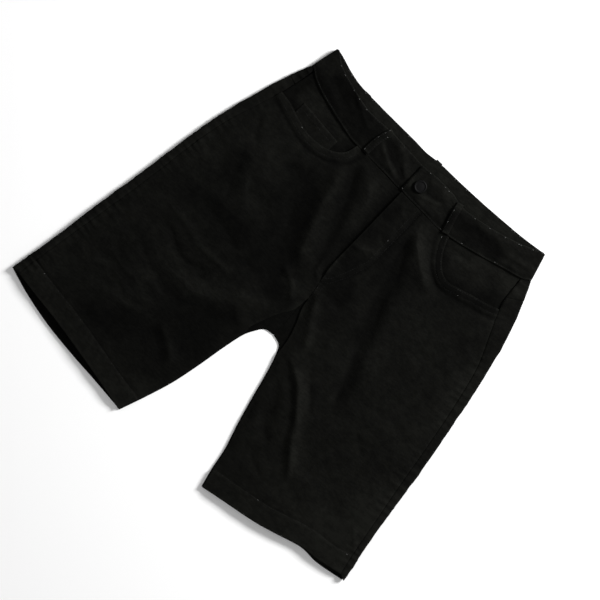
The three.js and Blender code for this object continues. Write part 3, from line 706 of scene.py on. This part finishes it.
# --- Front panels ---
# The two leg fronts of the twill, cut away at the pocket mouths. Each is sewn to
# its back at the side and inseam, hemmed, and laid in the folds it fell in.
TAB_LIFT = 8.4
TUCKED_LIFT = 5.2
FORK = (9, 8)
FORK_EDGE = {
    "right": [(-20, -72), (-12, -50), (-4, -33), (6, -16), FORK],
    "left": [(30, -75), (27, -50), (20, -27), (12, -8), FORK],
}
FRONT_CENTRE = {
    "right": [FORK, (5, 34), (1.2, 58), (6, 74), (7, 110), (7, 190.3)],
    "left": [FORK, (5, 34), (1, 60), (1, 110), (1, 190.7)],
}
HEM_FRONT = {
    "right": [(-284, -229), (-250, -234), (-200, -241), (-150, -250), (-110, -258), (-68, -265)],
    "left": [(287, -222), (252, -228.5), (224, -231.5), (190, -242), (160, -250), (115, -258), (78, -263.5)],
}
BAND_SEAM = {
    "right": [(-60, 193.1), (-35, 192.2), (-14, 191)],
    "left": [(70, 188.4), (40, 189.4), (14, 190.2)],
}
FLY_STITCH = [(38, 188), (38, 130), (37, 90), (33, 80), (28, 65), (22, 52), (15, 40), (6, 33)]

# ridges and troughs in the front of the wearer's right leg, then of the left
FOLDS = [
    ([(-80, 168), (-70, 135), (-62, 107), (-53, 79), (-43, 51), (-30, 20)], 12, 5.0, 0.15),
    ([(-114, 146), (-98, 109), (-88, 83), (-76, 54), (-60, 24), (-43, -5), (-22, -22)], 19, -5.6, 0.2),
    ([(-66, 182), (-53, 150), (-40, 122), (-28, 95), (-19, 70), (-10, 50)], 11, -4.8),
    ([(-60, 182), (-35, 168), (-20, 145), (-12, 110), (-5, 92)], 9, 1.5),
    ([(-129, 137), (-116, 131), (-103, 123)], 7, 1.3), ([(-130, 119), (-120, 115), (-108, 111)], 8, -1.6),
    ([(-199, 135), (-190, 120), (-180, 104)], 6, -2.0), ([(-188, 94), (-169, 53), (-152, 22)], 10, -2.3),
    ([(-150, 56), (-130, 56), (-110, 60)], 6, -1.4),
    ([(-160, 76), (-140, 45), (-125, 33), (-98, 33)], 9, 1.7),
    ([(-190, 5), (-155, 2), (-129, 0), (-95, -14)], 15, -3.8),
    ([(-90, -12), (-70, -16), (-50, -12)], 9, -2.2),
    ([(-210, -26), (-166, -37), (-129, -43), (-96, -40), (-78, -28)], 5, 1.9),
    ([(-208, -49), (-166, -60), (-136, -69), (-98, -60)], 6, -2.2),
    ([(-18, -34), (-50, -50), (-80, -75), (-112, -91), (-160, -92)], 12, 4.4, -0.2),
    ([(-208, -83), (-166, -103), (-95, -116)], 6, -1.5), ([(-36, -70), (-62, -108), (-60, -170)], 26, -4.2),
    ([(-110, -146), (-80, -160), (-56, -180)], 6, 2.0),
    ([(-222, -203), (-166, -205), (-146, -184), (-103, -168), (-62, -192)], 13, -3.2),
    ([(-48, 12), (-24, 5), (-5, -14)], 6, 4.2), ([(-240, 60), (-215, 52), (-200, 60)], 8, 1.2),
    ([(-250, -60), (-228, -70), (-205, -66)], 8, 1.4), ([(-265, -140), (-235, -150), (-210, -140)], 9, 1.3),
    ([(-230, -120), (-190, -128), (-150, -122)], 4.5, 1.1),
    ([(-205, -140), (-165, -147), (-125, -136)], 4.5, 1.0),
    ([(-215, -168), (-170, -165), (-130, -152)], 5, 1.2), ([(-170, 122), (-150, 96), (-142, 70)], 14, 1.4),
    ([(44, 168), (54, 140), (67, 107), (77, 80), (87, 47), (98, 12), (112, -22), (127, -58), (142, -90)],
     8.5, -5.8, 0.3),
    ([(46, 166), (58, 118), (72, 66), (86, 24), (102, -14)], 14, -3.4),
    ([(45, 184), (60, 160), (80, 142), (100, 128), (124, 118)], 10, 4.8),
    ([(92, 154), (117, 134), (144, 137), (190, 148)], 5, -1.8), ([(38, 62), (39, 40), (35, 20)], 12, -3.0),
    ([(-3, 76), (-8, 53), (1, 30)], 4, 1.4), ([(4, 24), (17, 8), (31, -15), (60, -50)], 7, 3.6),
    ([(60, -8), (80, -28), (100, -40)], 8, 1.2),
    ([(36, -62), (63, -72), (88, -91), (107, -118), (125, -147), (160, -190)], 7.5, 5.4, 0.25),
    ([(44, -92), (58, -108), (71, -132), (86, -153), (110, -176)], 7.5, -3.4),
    ([(52, -136), (57, -150), (63, -166)], 5, -1.3), ([(84, -67), (104, -83), (120, -104)], 5, -1.7),
    ([(174, -75), (187, -84), (200, -95)], 5, -1.3), ([(90, -191), (105, -197), (120, -205)], 5, -1.4),
    ([(252, -163), (268, -178), (284, -194)], 4.5, 1.5), ([(150, 90), (190, 70), (225, 60)], 16, 1.0),
    ([(205, 20), (190, -20), (205, -60)], 12, 1.0), ([(225, -100), (215, -140), (225, -180)], 14, -1.2),
    ([(150, 120), (170, 100), (200, 96)], 9, -1.0),
]
FLY_FOLDS = [
    ([(2, 100), (10, 98), (22, 106), (40, 108)], 4, 2.2),
    ([(-3, 80), (-11, 60), (-8, 42), (3, 30)], 3, 1.3), ([(32, 86), (24, 68), (12, 48)], 3.5, 1.4),
    ([(3, 70), (3, 56), (4, 42)], 3, 1.2), ([(10, 150), (20, 146), (30, 150)], 5, 0.8),
    ([(8, 126), (20, 130), (32, 124)], 5, -0.8), ([(12, 180), (24, 168), (34, 170)], 5, 0.9),
]
INNER_EDGE = {side: chain((INSEAM[side], 20), (FORK_EDGE[side], 12)) for side in OUTWARD}
MOUTH_LINE = {side: smooth(MOUTH[side], 40) for side in OUTWARD}
HEM_LINE = {side: smooth(HEM_FRONT[side], 40) for side in OUTWARD}
FLY_LINE = smooth(FLY_STITCH, 40)
fold_line = smooth(FRONT_CENTRE["left"], 40)


STITCHED_HEM = HEM - 0.5
MOUTH_ROWS = (1.8, 8.6)


def front_height(x, y, side):
    """Height of the middle of the front cloth, folds and seam relief together."""
    x, y = np.asarray(x, float), np.asarray(y, float)
    left = side == "left"
    warp_x = x + 3.5 * uneven(x, y, 34, 11)
    warp_y = y + 3.5 * uneven(x, y, 34, 12)
    to_edge = beside(INNER_EDGE[side], x, y)[0]
    to_mouth = beside(MOUTH_LINE[side], x, y)[0]
    to_seam = beside(SIDE_LINE[side], x, y)[0]
    to_hem, along_hem, _ = beside(HEM_LINE[side], x, y)
    fly = ramp(22, 54, y) * (ramp(62, 38, x) if left else ramp(-34, -12, x))
    fly_lift = (TAB_LIFT if left else TUCKED_LIFT) - FRONT_LIFT
    band = ramp(150, 188, y)
    floor = FACING_MID - 1.5 * bell(to_edge, 10) + 3.7 * ramp(34, 14, to_mouth)
    z = FRONT_LIFT + fly_lift * fly + 0.3 * band * (1 - fly)
    z -= (FRONT_LIFT - 2.4) * np.exp(-((to_edge / 9) ** 1.5))
    z += 1.6 * ramp(15, 90, to_edge) * (1 - band) * (1 - fly) * ramp(0, 22, to_seam)
    held = (1 - (0.62 if left else 0.8) * fly) * ramp(194, 176, y) * (0.25 + 0.75 * ramp(5, 30, to_hem))
    z += fold_sum(FOLDS, warp_x, warp_y) * held + fold_sum(FLY_FOLDS, x, y)
    calm = ramp(4, 20, to_edge) * ramp(0, 14, to_seam) * (1 - 0.6 * fly) * ramp(192, 178, y)
    z += calm * (0.55 * uneven(x, y, 46, 1) + 0.3 * uneven(x, y, 19, 2) + 0.16 * uneven(x * 0.5, y, 7, 6))
    right_thigh = bell(x + 155, 70) * bell(y + 118, 52)
    z += calm * right_thigh * 0.7 * uneven(x * 0.32, y + x * 0.12, 8, 7)
    left_hip = bell(x - 200, 60) * bell(y - 30, 110)
    z += calm * left_hip * 0.35 * uneven(x * 0.4, y - x * 0.1, 9, 9)
    over = np.clip(z - floor, -30, 30)
    z = floor + np.log1p(np.exp(over * 2)) / 2
    z += puckers(SIDE_LINE[side], x, y, SEAM_PULL[side], 1.3, 13, 3) - 0.5 * bell(to_seam, 1.7)
    z += 0.5 * ramp(28, 25, to_hem) - 0.7 * bell(to_hem - STITCHED_HEM, 1.9)
    roped = np.sin(2 * math.pi * (along_hem + to_hem * 0.5) / 9.5)
    z += 0.28 * roped * bell(to_hem - 20, 8)
    z += 0.55 * ramp(11.5, 9.5, to_mouth) - 0.6 * bell(to_mouth - 9, 1.6)
    z -= 1.5 * bell(to_mouth - 15, 3) * ramp(0, 40, np.abs(x) - 60)
    if left:
        to_stitch = beside(FLY_LINE, x, y)[0]
        z += 0.3 * ramp(38, 34, x) * ramp(28, 40, y) - 0.8 * bell(to_stitch, 2) * ramp(192, 186, y)
        z += puckers(fold_line, x, y, 14.5, 0.8, 10, 17) * ramp(36, 60, y)
    else:
        z -= 0.9 * bell(x + 4, 5) * ramp(70, 96, y) * ramp(192, 170, y)
    return z


def front_tone(x, y, side):
    """How pale a front is: worn along its edges, seams and hem, painted light and shade on its folds,
    puckers, pocket mouths and fly stitching, and its patches.
    """
    to_mouth = beside(MOUTH_LINE[side], x, y)[0]
    to_hem = beside(HEM_LINE[side], x, y)[0]
    to_seams = np.minimum(beside(SIDE_LINE[side], x, y)[0], beside(INNER_EDGE[side], x, y)[0])
    to_edges = np.minimum(to_mouth, to_hem)
    if side == "left":
        to_edges = np.minimum(to_edges, np.where(y > 30, beside(fold_line, x, y)[0], 99))
    # painted light and shade: the fold heights make the tone paler on ridges and darker in troughs; the
    # edges are paler from wear
    tone = 0.36 + 0.085 * np.clip(fold_sum(FOLDS, x, y), -4.5, 4) + 0.55 * bell(to_edges, 1.6) + fade_light_and_shade(x, y)
    tone += 0.16 * ramp(29, 25, to_hem) + 0.12 * bell(to_seams, 3.5)
    # paler on pucker tops and darker between them: wear on the seam with painted shade
    tone += 0.22 * puckers(SIDE_LINE[side], x, y, SEAM_PULL[side], 1, 13, 3)
    # painted light on the wearer's right pocket mouth, painted shade on the left one and in the crease below
    # both
    tone += (0.2 if side == "right" else -0.34) * ramp(11, 8, to_mouth) - 0.3 * bell(to_mouth - 15, 3)
    if side == "left":
        # a paler line along the second row of mouth stitching, and painted shade in the groove of the fly's
        # J-stitching
        tone += 0.4 * bell(to_mouth - 9, 1.4) - 0.35 * bell(beside(FLY_LINE, x, y)[0], 2.5)
    return tone


def shifted(points, by):
    return [(x + by, y) for x, y in points]


# where the rows of the net turn from hem to leg, to fork, to fly and to pocket, as shares of the leg side
HEM_ROWS, LEG_ROWS = spaced(HEM, 2.0), spaced(180, 2.1, True, False)
FORK_ROWS, FLY_ROWS = np.linspace(0, 1, 37), np.linspace(0, 1, 60)
TOP_ROWS = spaced(145, 2.1, False, True)
HEM_SHARE, LEG_SHARE, FORK_SHARE = 0.0667, 0.5, 0.6833
INSEAM_HEM, FLY_SHARE = 0.1333, 0.45

for side, sign in OUTWARD.items():
    edge = shifted(SIDE_SEAM[side], -sign * SEAM_GAP)
    inseam = shifted(INSEAM[side], sign * 1.5)
    fork = shifted(FORK_EDGE[side], sign * SEAM_GAP / 2)
    centre = shifted(FRONT_CENTRE[side], sign * SEAM_GAP / 2)
    turns = [(0, HEM_SHARE, HEM_ROWS), (HEM_SHARE, LEG_SHARE, LEG_ROWS), (LEG_SHARE, FORK_SHARE, FORK_ROWS),
             (FORK_SHARE, 1, FLY_ROWS)]
    outer = np.vstack([smooth(edge, a + (b - a) * at)[0 if a == 0 else 1:] for a, b, at in turns]
                      + [smooth(MOUTH[side], TOP_ROWS)[1:]])
    leg = [*smooth(inseam, np.linspace(INSEAM_HEM, 1, 12))[:-1], FORK_EDGE[side][0]]
    inner = np.vstack([smooth(inseam, INSEAM_HEM * HEM_ROWS), smooth(leg, LEG_ROWS)[1:],
                       smooth(fork, FORK_ROWS)[1:], smooth(centre, FLY_SHARE * FLY_ROWS)[1:],
                       smooth(centre, FLY_SHARE + (1 - FLY_SHARE) * TOP_ROWS)[1:]])
    across = spaced(215, 2.2)
    fine = across[across > 0.08]
    across = np.r_[across[:4], np.linspace(across[3], fine[0], 13)[1:-1], fine]
    plan = net(outer, inner, across, HEM_FRONT[side], [(0, 0), *BAND_SEAM[side], (0, 0)])
    x, y = plan[..., 0], plan[..., 1]
    extra = np.where(np.arange(len(plan)) < len(HEM_ROWS), HEM_EXTRA, 0)[:, None]
    lowest = DENIM + 2 * extra + SEAM_GAP + HALF + 0.05
    middle = np.dstack([x, y, np.maximum(front_height(x, y, side), lowest)])
    front = shell(f"front_panel_{side}", middle, facing_of(middle), HALF, HALF + extra, denim[side],
                  front_tone(x, y, side))

    def top(x, y):
        return front_height(x, y, side) + HALF + 0.05

    rows = [moved(MOUTH[side], sign * by, 0.01, 0.985) for by in MOUTH_ROWS]
    rows.append(moved(HEM_FRONT[side], -sign * (HEM - 1), 0.01, 0.99))
    if side == "left":
        rows += [moved(FLY_STITCH, by, 0, 0.99) for by in (0, -6)]
        rows += [moved([FORK, (5, 34)], by, 0.05, 0.95) for by in (-2, -7)]
    runs = [run_along(row, top) for row in rows]
    for tack in {"left": [(3, 83, 0.3), (88, 188, 1.3)], "right": [(-80, 186, 1.9)]}[side]:
        runs += bartack(*tack, top)
    threads = sew(f"front_stitching_{side}", runs, 0.015)


# --- Fly ---
# Behind the lapped left front: a denim facing under its edge, the zip on its
# tape, and the shield sewn to the right front. All three are hidden when closed.
ZIP_TAPE = 1.0
SHIELD_MID = 2.3
ZIP_MID = 3.7
zip_tape, tape_shader, place = new_material("zip_tape", 0.3, 0.05, 0.4)
rib = place.part("Y").wave(0.0007) * 0.5 + 0.5
shade = rib * 0.5 + place.noise(200, 2.0) * 0.5
wire(tape_shader, Base_Color=shade.blend((0.009, 0.009, 0.01, 1), (0.02, 0.02, 0.021, 1)),
     Roughness=0.8 - rib * 0.1, Normal=rib.relief(0.5, 0.0002))


def under_left_front(x, y):
    return front_height(x, y, "left") - HALF - SEAM_GAP - THIN / 2


def coil(x, y):
    """The tape, with the closed teeth standing in a row along it."""
    return ZIP_MID + 0.35 * bell(x - 4, 2.5) * (0.7 + 0.3 * np.sin(y * 2 * math.pi / 3))


def shield_height(x, y):
    return x * 0 + SHIELD_MID


plan = laid_net([(8.6, 50), (8.3, 110), (8.3, 190)], [(20, 50), (34, 82), (38, 115), (38, 189.2)],
                (140, 3), (29, 3))
facing = flat_shell("fly_facing", plan, under_left_front, THIN, denim["left"])
plan = laid_net([(-9, 56), (-9, 188)], [(17, 56), (17, 188)], (132, 3), (26, 1.6))
tape = flat_shell("fly_zip", plan, coil, ZIP_TAPE, zip_tape)
plan = laid_net([(-14, 50), (-14, 190)], [(24, 62), (32, 90), (32, 189)], (140, 3), (44, 3))
shield = flat_shell("fly_shield", plan, shield_height, THIN, denim["right"])


# --- Waistband ---
# One doubled strip of denim round the flattened waist, sewn down along both
# edges, its left end lapped over the right as a tab. It lies in small folds.
BAND = 2.8
BAND_WIDE = 40
BAND_LIFT = 7.1
LOW_ROW, TOP_ROW = 0.06, 0.94
INSIDE_ROW = (4, 6)
LOOP_THICK = 2.2
BACK_LOOPS = {-118: 213.6, 10: 210.6, 126: 215}
BAND_TOP_BACK = [(-188, 267), (-175, 265), (-153, 258), (-130, 253.5), (-95, 252), (-35, 251), (-10, 250),
                 (13, 252), (60, 252.5), (110, 254), (155, 257), (192, 261)]
BAND_TOP = {
    "right": [(-188, 267), (-165, 254), (-130, 243), (-100, 237), (-60, 238), (-30, 236), (0, 234),
              (34, 230)],
    "left": [(192, 261), (160, 249), (130, 240), (95, 233), (70, 231), (50, 235), (20, 236), (-3, 234)],
}
BAND_LOW = {
    "right": [(-197, 228), (-180, 219), (-160, 211), (-130, 203), (-100, 196), (-80, 194), (-35, 193),
              (0, 191), (34, 190)],
    "left": [(203, 222), (190, 217), (160, 209), (130, 201), (100, 194), (70, 189), (40, 190),
             (10, 191), (-3, 193)],
}
BAND_FOLDS = [
    ([(-64, 220), (-40, 207), (-16, 197)], 4.5, 1.9), ([(-62, 228), (-40, 216), (-6, 200)], 5, -2.2),
    ([(-26, 221), (-15, 213), (-5, 205)], 3.5, 1.2), ([(-130, 242), (-105, 229), (-80, 216)], 5, 1.3),
    ([(-170, 240), (-150, 228), (-120, 220)], 8, -1.2), ([(-178, 232), (-150, 219), (-110, 206)], 6, 0.8),
    ([(14, 226), (36, 229), (58, 222)], 8, 1.3), ([(10, 217), (28, 213), (46, 214), (58, 221)], 3, -2.2),
    ([(10, 203), (26, 204), (44, 211), (61, 224)], 3.2, 2.4), ([(22, 200), (42, 202), (64, 203)], 3, 0.8),
    ([(150, 223), (170, 229), (185, 233), (200, 236)], 5, 1.6),
    ([(76, 208), (115, 212), (160, 219)], 9, -1.2), ([(95, 226), (130, 233), (160, 243)], 5, 1.0),
    ([(-52, 232), (-35, 229), (-12, 216)], 4, 0.9), ([(8, 228), (0, 214), (4, 199)], 4, 1.0),
    ([(14, 197), (34, 196), (56, 195)], 3, 0.9), ([(-150, 250), (-120, 240), (-85, 232)], 4, 0.9),
    ([(48, 232), (62, 226), (66, 214)], 4, 1.0), ([(140, 212), (165, 217), (196, 226)], 5, 0.9),
]


BUTTON_AT = (14, 212)


def band_folds(x, y):
    """The folds of the waistband, which lies flat under its button."""
    to_button = np.hypot(x - BUTTON_AT[0], y - BUTTON_AT[1])
    crumple = 0.5 * uneven(x, y, 13, 51) + 0.3 * uneven(x, y, 6, 52)
    return (1.3 * fold_sum(BAND_FOLDS, x, y) + crumple) * (1 - bell(to_button**2, 11**2))


def set_in(line, by):
    """The line with its first point moved sideways."""
    return [(line[0][0] + by, line[0][1]), *line[1:]]


def nearest(shares, at):
    return int(np.argmin(np.abs(shares - at)))


# the strip is laid out as stations round the waist, each a low and a top point, a normal and a height
corner = (BAND_LIFT - BAND / 2) / 2
turn_in = corner + BAND / 2
stations = []


def add_stations(low, top, normal, height):
    for at in zip(low, top, np.broadcast_to(normal, (len(low), 3)), np.broadcast_to(height, len(low))):
        stations.append(at)


def add_corner(low, top, sign, start):
    for turn in np.linspace(0, math.pi, 12)[1:-1]:
        c = start * math.cos(turn)
        reach = (sign * corner * math.sin(turn), 0)
        add_stations([low + reach], [top + reach], (sign * math.sin(turn), 0, c), turn_in + c * corner)


right_low = smooth(set_in(BAND_LOW["right"], turn_in), 96)[::-1]
right_top = smooth(set_in(BAND_TOP["right"], turn_in), 96)[::-1]
tucked = ramp(-32, -8, right_low[:, 0])
add_stations(right_low, right_top, (0, 0, 1), BAND_LIFT + (5.0 - BAND_LIFT) * tucked)
add_corner(right_low[-1], right_top[-1], -1, 1)
back_start = len(stations)
back_low = smooth([right_low[-1], *BAND_LOW_BACK[1:]], 150)
back_top = smooth([right_top[-1], *BAND_TOP_BACK[1:-1], (192 - turn_in, 261)], 150)
over_loops = np.max([ramp(28, 13, np.abs(back_low[:, 0] - at)) for at in BACK_LOOPS], axis=0)
add_stations(back_low, back_top, (0, 0, -1), BAND / 2 + over_loops * (LOOP_THICK + SEAM_GAP))
back_end = len(stations)
add_corner(back_low[-1], back_top[-1], 1, -1)
left_low = smooth([back_low[-1], *BAND_LOW["left"][1:]], 96)
left_top = smooth([back_top[-1], *BAND_TOP["left"][1:]], 96)
lapped = ramp(64, 42, left_low[:, 0])
add_stations(left_low, left_top, (0, 0, 1), BAND_LIFT + (TAB_LIFT - BAND_LIFT) * lapped)

low, top, normal, height = (np.array(column) for column in zip(*stations))
across = spaced(BAND_WIDE, 1.7)
plan = low[:, None] * (1 - across[None, :, None]) + top[:, None] * across[None, :, None]
normal = np.repeat(normal[:, None], len(across), 1)
x, y = plan[..., 0], plan[..., 1]
facing_up = np.clip(normal[..., 2], 0, 1)
stands = ramp(-62, -100, x) * ramp(-196, -180, x) + 0.6 * ramp(78, 110, x) * ramp(196, 170, x)
relief = (band_folds(x, y) + 3.0 * stands * across[None] ** 1.5) * facing_up
sewn_rows = bell(across - LOW_ROW, 0.035) + bell(across - TOP_ROW, 0.035)
out = BAND / 2 + np.clip(relief, -0.9, 0) - 0.35 * sewn_rows[None]
out = out - 0.7 * ramp(8, 0, across * BAND_WIDE)[None] * facing_up
middle = np.dstack([x, y, height[:, None] + np.clip(relief, 0, 9)])
edges = bell(across * BAND_WIDE, 1.6) + bell((1 - across) * BAND_WIDE, 1.6)
# painted light and shade: paler on fold ridges and darker in fold troughs; paler at the edges from wear;
# paler where it turns over, partly wear on the fold and partly a painted rim highlight
tone = 0.34 + 0.17 * np.clip(band_folds(x, y), -2.5, 2.5) * facing_up + 0.5 * edges[None]
tone = tone + fade_light_and_shade(x, y) + 0.25 * (1 - np.abs(normal[..., 2]))
waistband = shell("waistband", middle, normal, out, BAND / 2, denim["left"], tone, 0.7)
surface = middle + normal * (out + 0.05)[..., None]
back = slice(back_start + INSIDE_ROW[0], back_end - INSIDE_ROW[1])
inside = middle[back] - normal[back] * (BAND / 2 + 0.05)
low_row, top_row = nearest(across, LOW_ROW), nearest(across, TOP_ROW)
end = surface[-1, :] + (2.5, 0, 0)
threads = sew("waistband_stitching", [(surface[:, low_row], normal[:, low_row]),
                                      (end, np.tile([0.0, 0, 1], (len(end), 1)))], 0.03)
edge_threads = sew("waistband_edge_stitching", [(surface[:, top_row], normal[:, top_row]),
                                                (inside[:, top_row], -normal[back, 0])], 0.12)


# --- Belt loops ---
# Five narrow strips folded in three and sewn down both edges, turned under and
# bartacked over the waistband: two in front and three at the back.
LOOP_WIDTH = 9.5
LOOP_ROWS = (0.16, 0.84)
over_band = BAND_LIFT + BAND / 2 + SEAM_GAP + LOOP_THICK / 2


def belt_loop(name, foot, top, bow, height, face):
    """A loop from its foot to its top, at a height, on the front (face 1) or the underside (0)."""
    foot, top = np.array(foot, float), np.array(top, float)
    line = smooth([foot, (foot + top) / 2 + bow, top], spaced(42, 1.3))
    ahead = np.gradient(line, axis=0)
    ahead /= np.hypot(*ahead.T)[:, None]
    side_way = np.column_stack([ahead[:, 1], -ahead[:, 0]])
    share = spaced(LOOP_WIDTH, 0.9)
    u = np.linspace(0, 1, len(line))[:, None]
    plan = line[:, None] + side_way[:, None] * ((share - 0.5) * LOOP_WIDTH)[None, :, None]
    x, y = plan[..., 0], plan[..., 1]
    ends = face * 0.7 * (bell(u - 0.93, 0.06) + bell(u - 0.06, 0.05))
    relief = np.clip(band_folds(x, y), 0, 9) if face else 0
    middle = np.dstack([x, y, height + face * 1.5 * np.sin(math.pi * u) + ends * 0.4 + relief + x * 0])
    grooves = 0.3 * sum(bell(share - at, 0.07) for at in LOOP_ROWS)[None]
    out = LOOP_THICK / 2 - grooves + face * 0.25 * np.sin(math.pi * share)[None] + ends * 0.3
    # paler along the folded edges from wear, and paler at the turned ends as a painted highlight
    tone = 0.36 + fade_light_and_shade(x, y) + 0.3 * bell(np.abs(share - 0.5) - 0.5, 0.08)[None] + 0.45 * np.abs(ends)
    up = 1 if face else -1
    normal = np.broadcast_to([0.0, 0, up], middle.shape)
    piece = shell(name, middle, normal, out, LOOP_THICK / 2, denim["left"], tone)
    surface = middle + normal * (out + 0.02)[..., None]
    runs = [(surface[2:-2, k], normal[2:-2, k]) for k in (nearest(share, at) for at in LOOP_ROWS)]
    k = len(share) // 2
    for row in (5, len(line) - 6):
        at = middle[row, k]
        turn = math.atan2(side_way[row, 1], side_way[row, 0])
        level = at[2] + up * (float(out[row, k]) + (0.05 if face else -0.25))
        runs += bartack(at[0], at[1], turn, lambda a, b: a * 0 + level, 8, up)
    threads = sew(f"{name}_stitching", runs, 0.1)


belt_loop("belt_loop_front_right", (-69, 195), (-61, 239), (-2.5, 0), over_band, 1)
belt_loop("belt_loop_front_left", (79, 190), (67, 232.5), (-1, 0), over_band, 1)
for (at, foot), name in zip(BACK_LOOPS.items(), ("back_right", "centre_back", "back_left")):
    belt_loop(f"belt_loop_{name}", (at, foot), (at, 253.5), (0, 0), LOOP_THICK / 2, 0)


# --- Button ---
# A plain blackened metal jeans button riveted through the tab: a low dish with
# a rolled rim and a plain domed middle. It carries no mark.
BUTTON_LIFT = TAB_LIFT + BAND / 2 + 0.15
BUTTON_HIGH = 3.2
TURNS = 48
button_metal, metal_shader, place = new_material("blackened_button_metal", 0.08)
scuff = place.noise(420, 4.0, 0.65)
shade = (place.wear_and_painted_light() * scuff.between(0.35, 0.65) * 0.35 + scuff * 0.2).limited()
wire(metal_shader, Base_Color=shade.blend((0.0015, 0.0015, 0.0016, 1), (0.007, 0.007, 0.0067, 1)),
     Roughness=0.62 - shade * 0.15, Metallic=shade * 0.6 + 0.1, Normal=scuff.relief(0.25, 0.0002))

# half of its section, out from the middle of the back and in over the rim to the middle of the face
profile = smooth([(0, 0), (5, 0), (5.2, 0.5), (5.4, 1.2), (7.9, 1.35), (8.4, 1.6), (8.6, 2.1), (8.4, 2.8),
                  (7.9, 3.3), (7.2, 3.5), (6.6, 3.3), (6.2, 2.9), (5.4, 2.8), (4, 2.95), (2, 3.15),
                  (0.6, BUTTON_HIGH), (0, BUTTON_HIGH)], 44)
turns = np.linspace(0, 2 * math.pi, TURNS, endpoint=False)
points = [(BUTTON_AT[0] + r * math.cos(t), BUTTON_AT[1] + r * math.sin(t), BUTTON_LIFT + z)
          for r, z in profile[1:-1] for t in turns]
points += [(*BUTTON_AT, BUTTON_LIFT), (*BUTTON_AT, BUTTON_LIFT + BUTTON_HIGH)]
rings = len(profile) - 2
around = [(k, (k + 1) % TURNS) for k in range(TURNS)]
faces = [(r * TURNS + k, r * TURNS + ahead, (r + 1) * TURNS + ahead, (r + 1) * TURNS + k)
         for r in range(rings - 1) for k, ahead in around]
faces += [(rings * TURNS, ahead, k) for k, ahead in around]
faces += [(rings * TURNS + 1, (rings - 1) * TURNS + k, (rings - 1) * TURNS + ahead) for k, ahead in around]
rim = np.repeat(bell(profile[1:-1, 0] - 8, 0.8), TURNS)
button = mesh_piece("button_face", points, faces, button_metal, np.r_[rim, 0, 0.3])
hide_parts("waistband_button")


# --- Floor, light and camera ---
# Not part of the garment: pale paper under it, a window to one side and a weak fill,
# and a camera straight overhead, turned so that the garment lies at its angle.
VIEW_HEIGHT = 3.0
VIEW_WIDTH = 0.780
SENSOR = 36
floor_mesh = bpy.data.meshes.new("floor")
floor_corners = [(x, y, -0.0004) for x, y in ((-4, -4), (4, -4), (4, 4), (-4, 4))]
floor_mesh.from_pydata(floor_corners, [], [(0, 1, 2, 3)])
floor = bpy.data.objects.new("floor", floor_mesh)
bpy.context.scene.collection.objects.link(floor)
paper, paper_shader, _ = new_material("pale_paper", 0.5)
paper_shader.inputs["Base Color"].default_value = (0.9, 0.9, 0.9, 1)
paper_shader.inputs["Roughness"].default_value = 0.9
floor_mesh.materials.append(paper)

VIEW_TURN = math.radians(43.8)
right_of_view = Vector((math.cos(VIEW_TURN), math.sin(VIEW_TURN), 0))
top_of_view = Vector((-math.sin(VIEW_TURN), math.cos(VIEW_TURN), 0))
middle_of_view = Vector((0.0029, -0.0018, 0))


def soft_light(name, across, up, height, size, power):
    lamp = bpy.data.lights.new(name, "AREA")
    lamp.size = size
    lamp.energy = power
    light = bpy.data.objects.new(name, lamp)
    light.location = middle_of_view + right_of_view * across + top_of_view * up + Vector((0, 0, height))
    light.rotation_euler = (middle_of_view - light.location).to_track_quat("-Z", "Y").to_euler()
    bpy.context.scene.collection.objects.link(light)


soft_light("window", 2.2, 0.75, 1.35, 0.8, 125)
soft_light("fill", -0.8, -0.2, 2.8, 3.0, 18)
world = bpy.data.worlds.new("studio")
bpy.context.scene.world = world
world.use_nodes = True
world.node_tree.nodes["Background"].inputs["Color"].default_value = (1, 1, 1, 1)
world.node_tree.nodes["Background"].inputs["Strength"].default_value = 0.3
bpy.context.scene.view_settings.view_transform = "Standard"

camera_data = bpy.data.cameras.new("camera")
camera_data.sensor_width = SENSOR
camera_data.lens = SENSOR * VIEW_HEIGHT / VIEW_WIDTH
camera = bpy.data.objects.new("camera", camera_data)
above = middle_of_view + Vector((0, 0, VIEW_HEIGHT))
camera.matrix_world = Matrix.Translation(above) @ Matrix.Rotation(VIEW_TURN, 4, "Z")
bpy.context.scene.collection.objects.link(camera)
bpy.context.scene.camera = camera
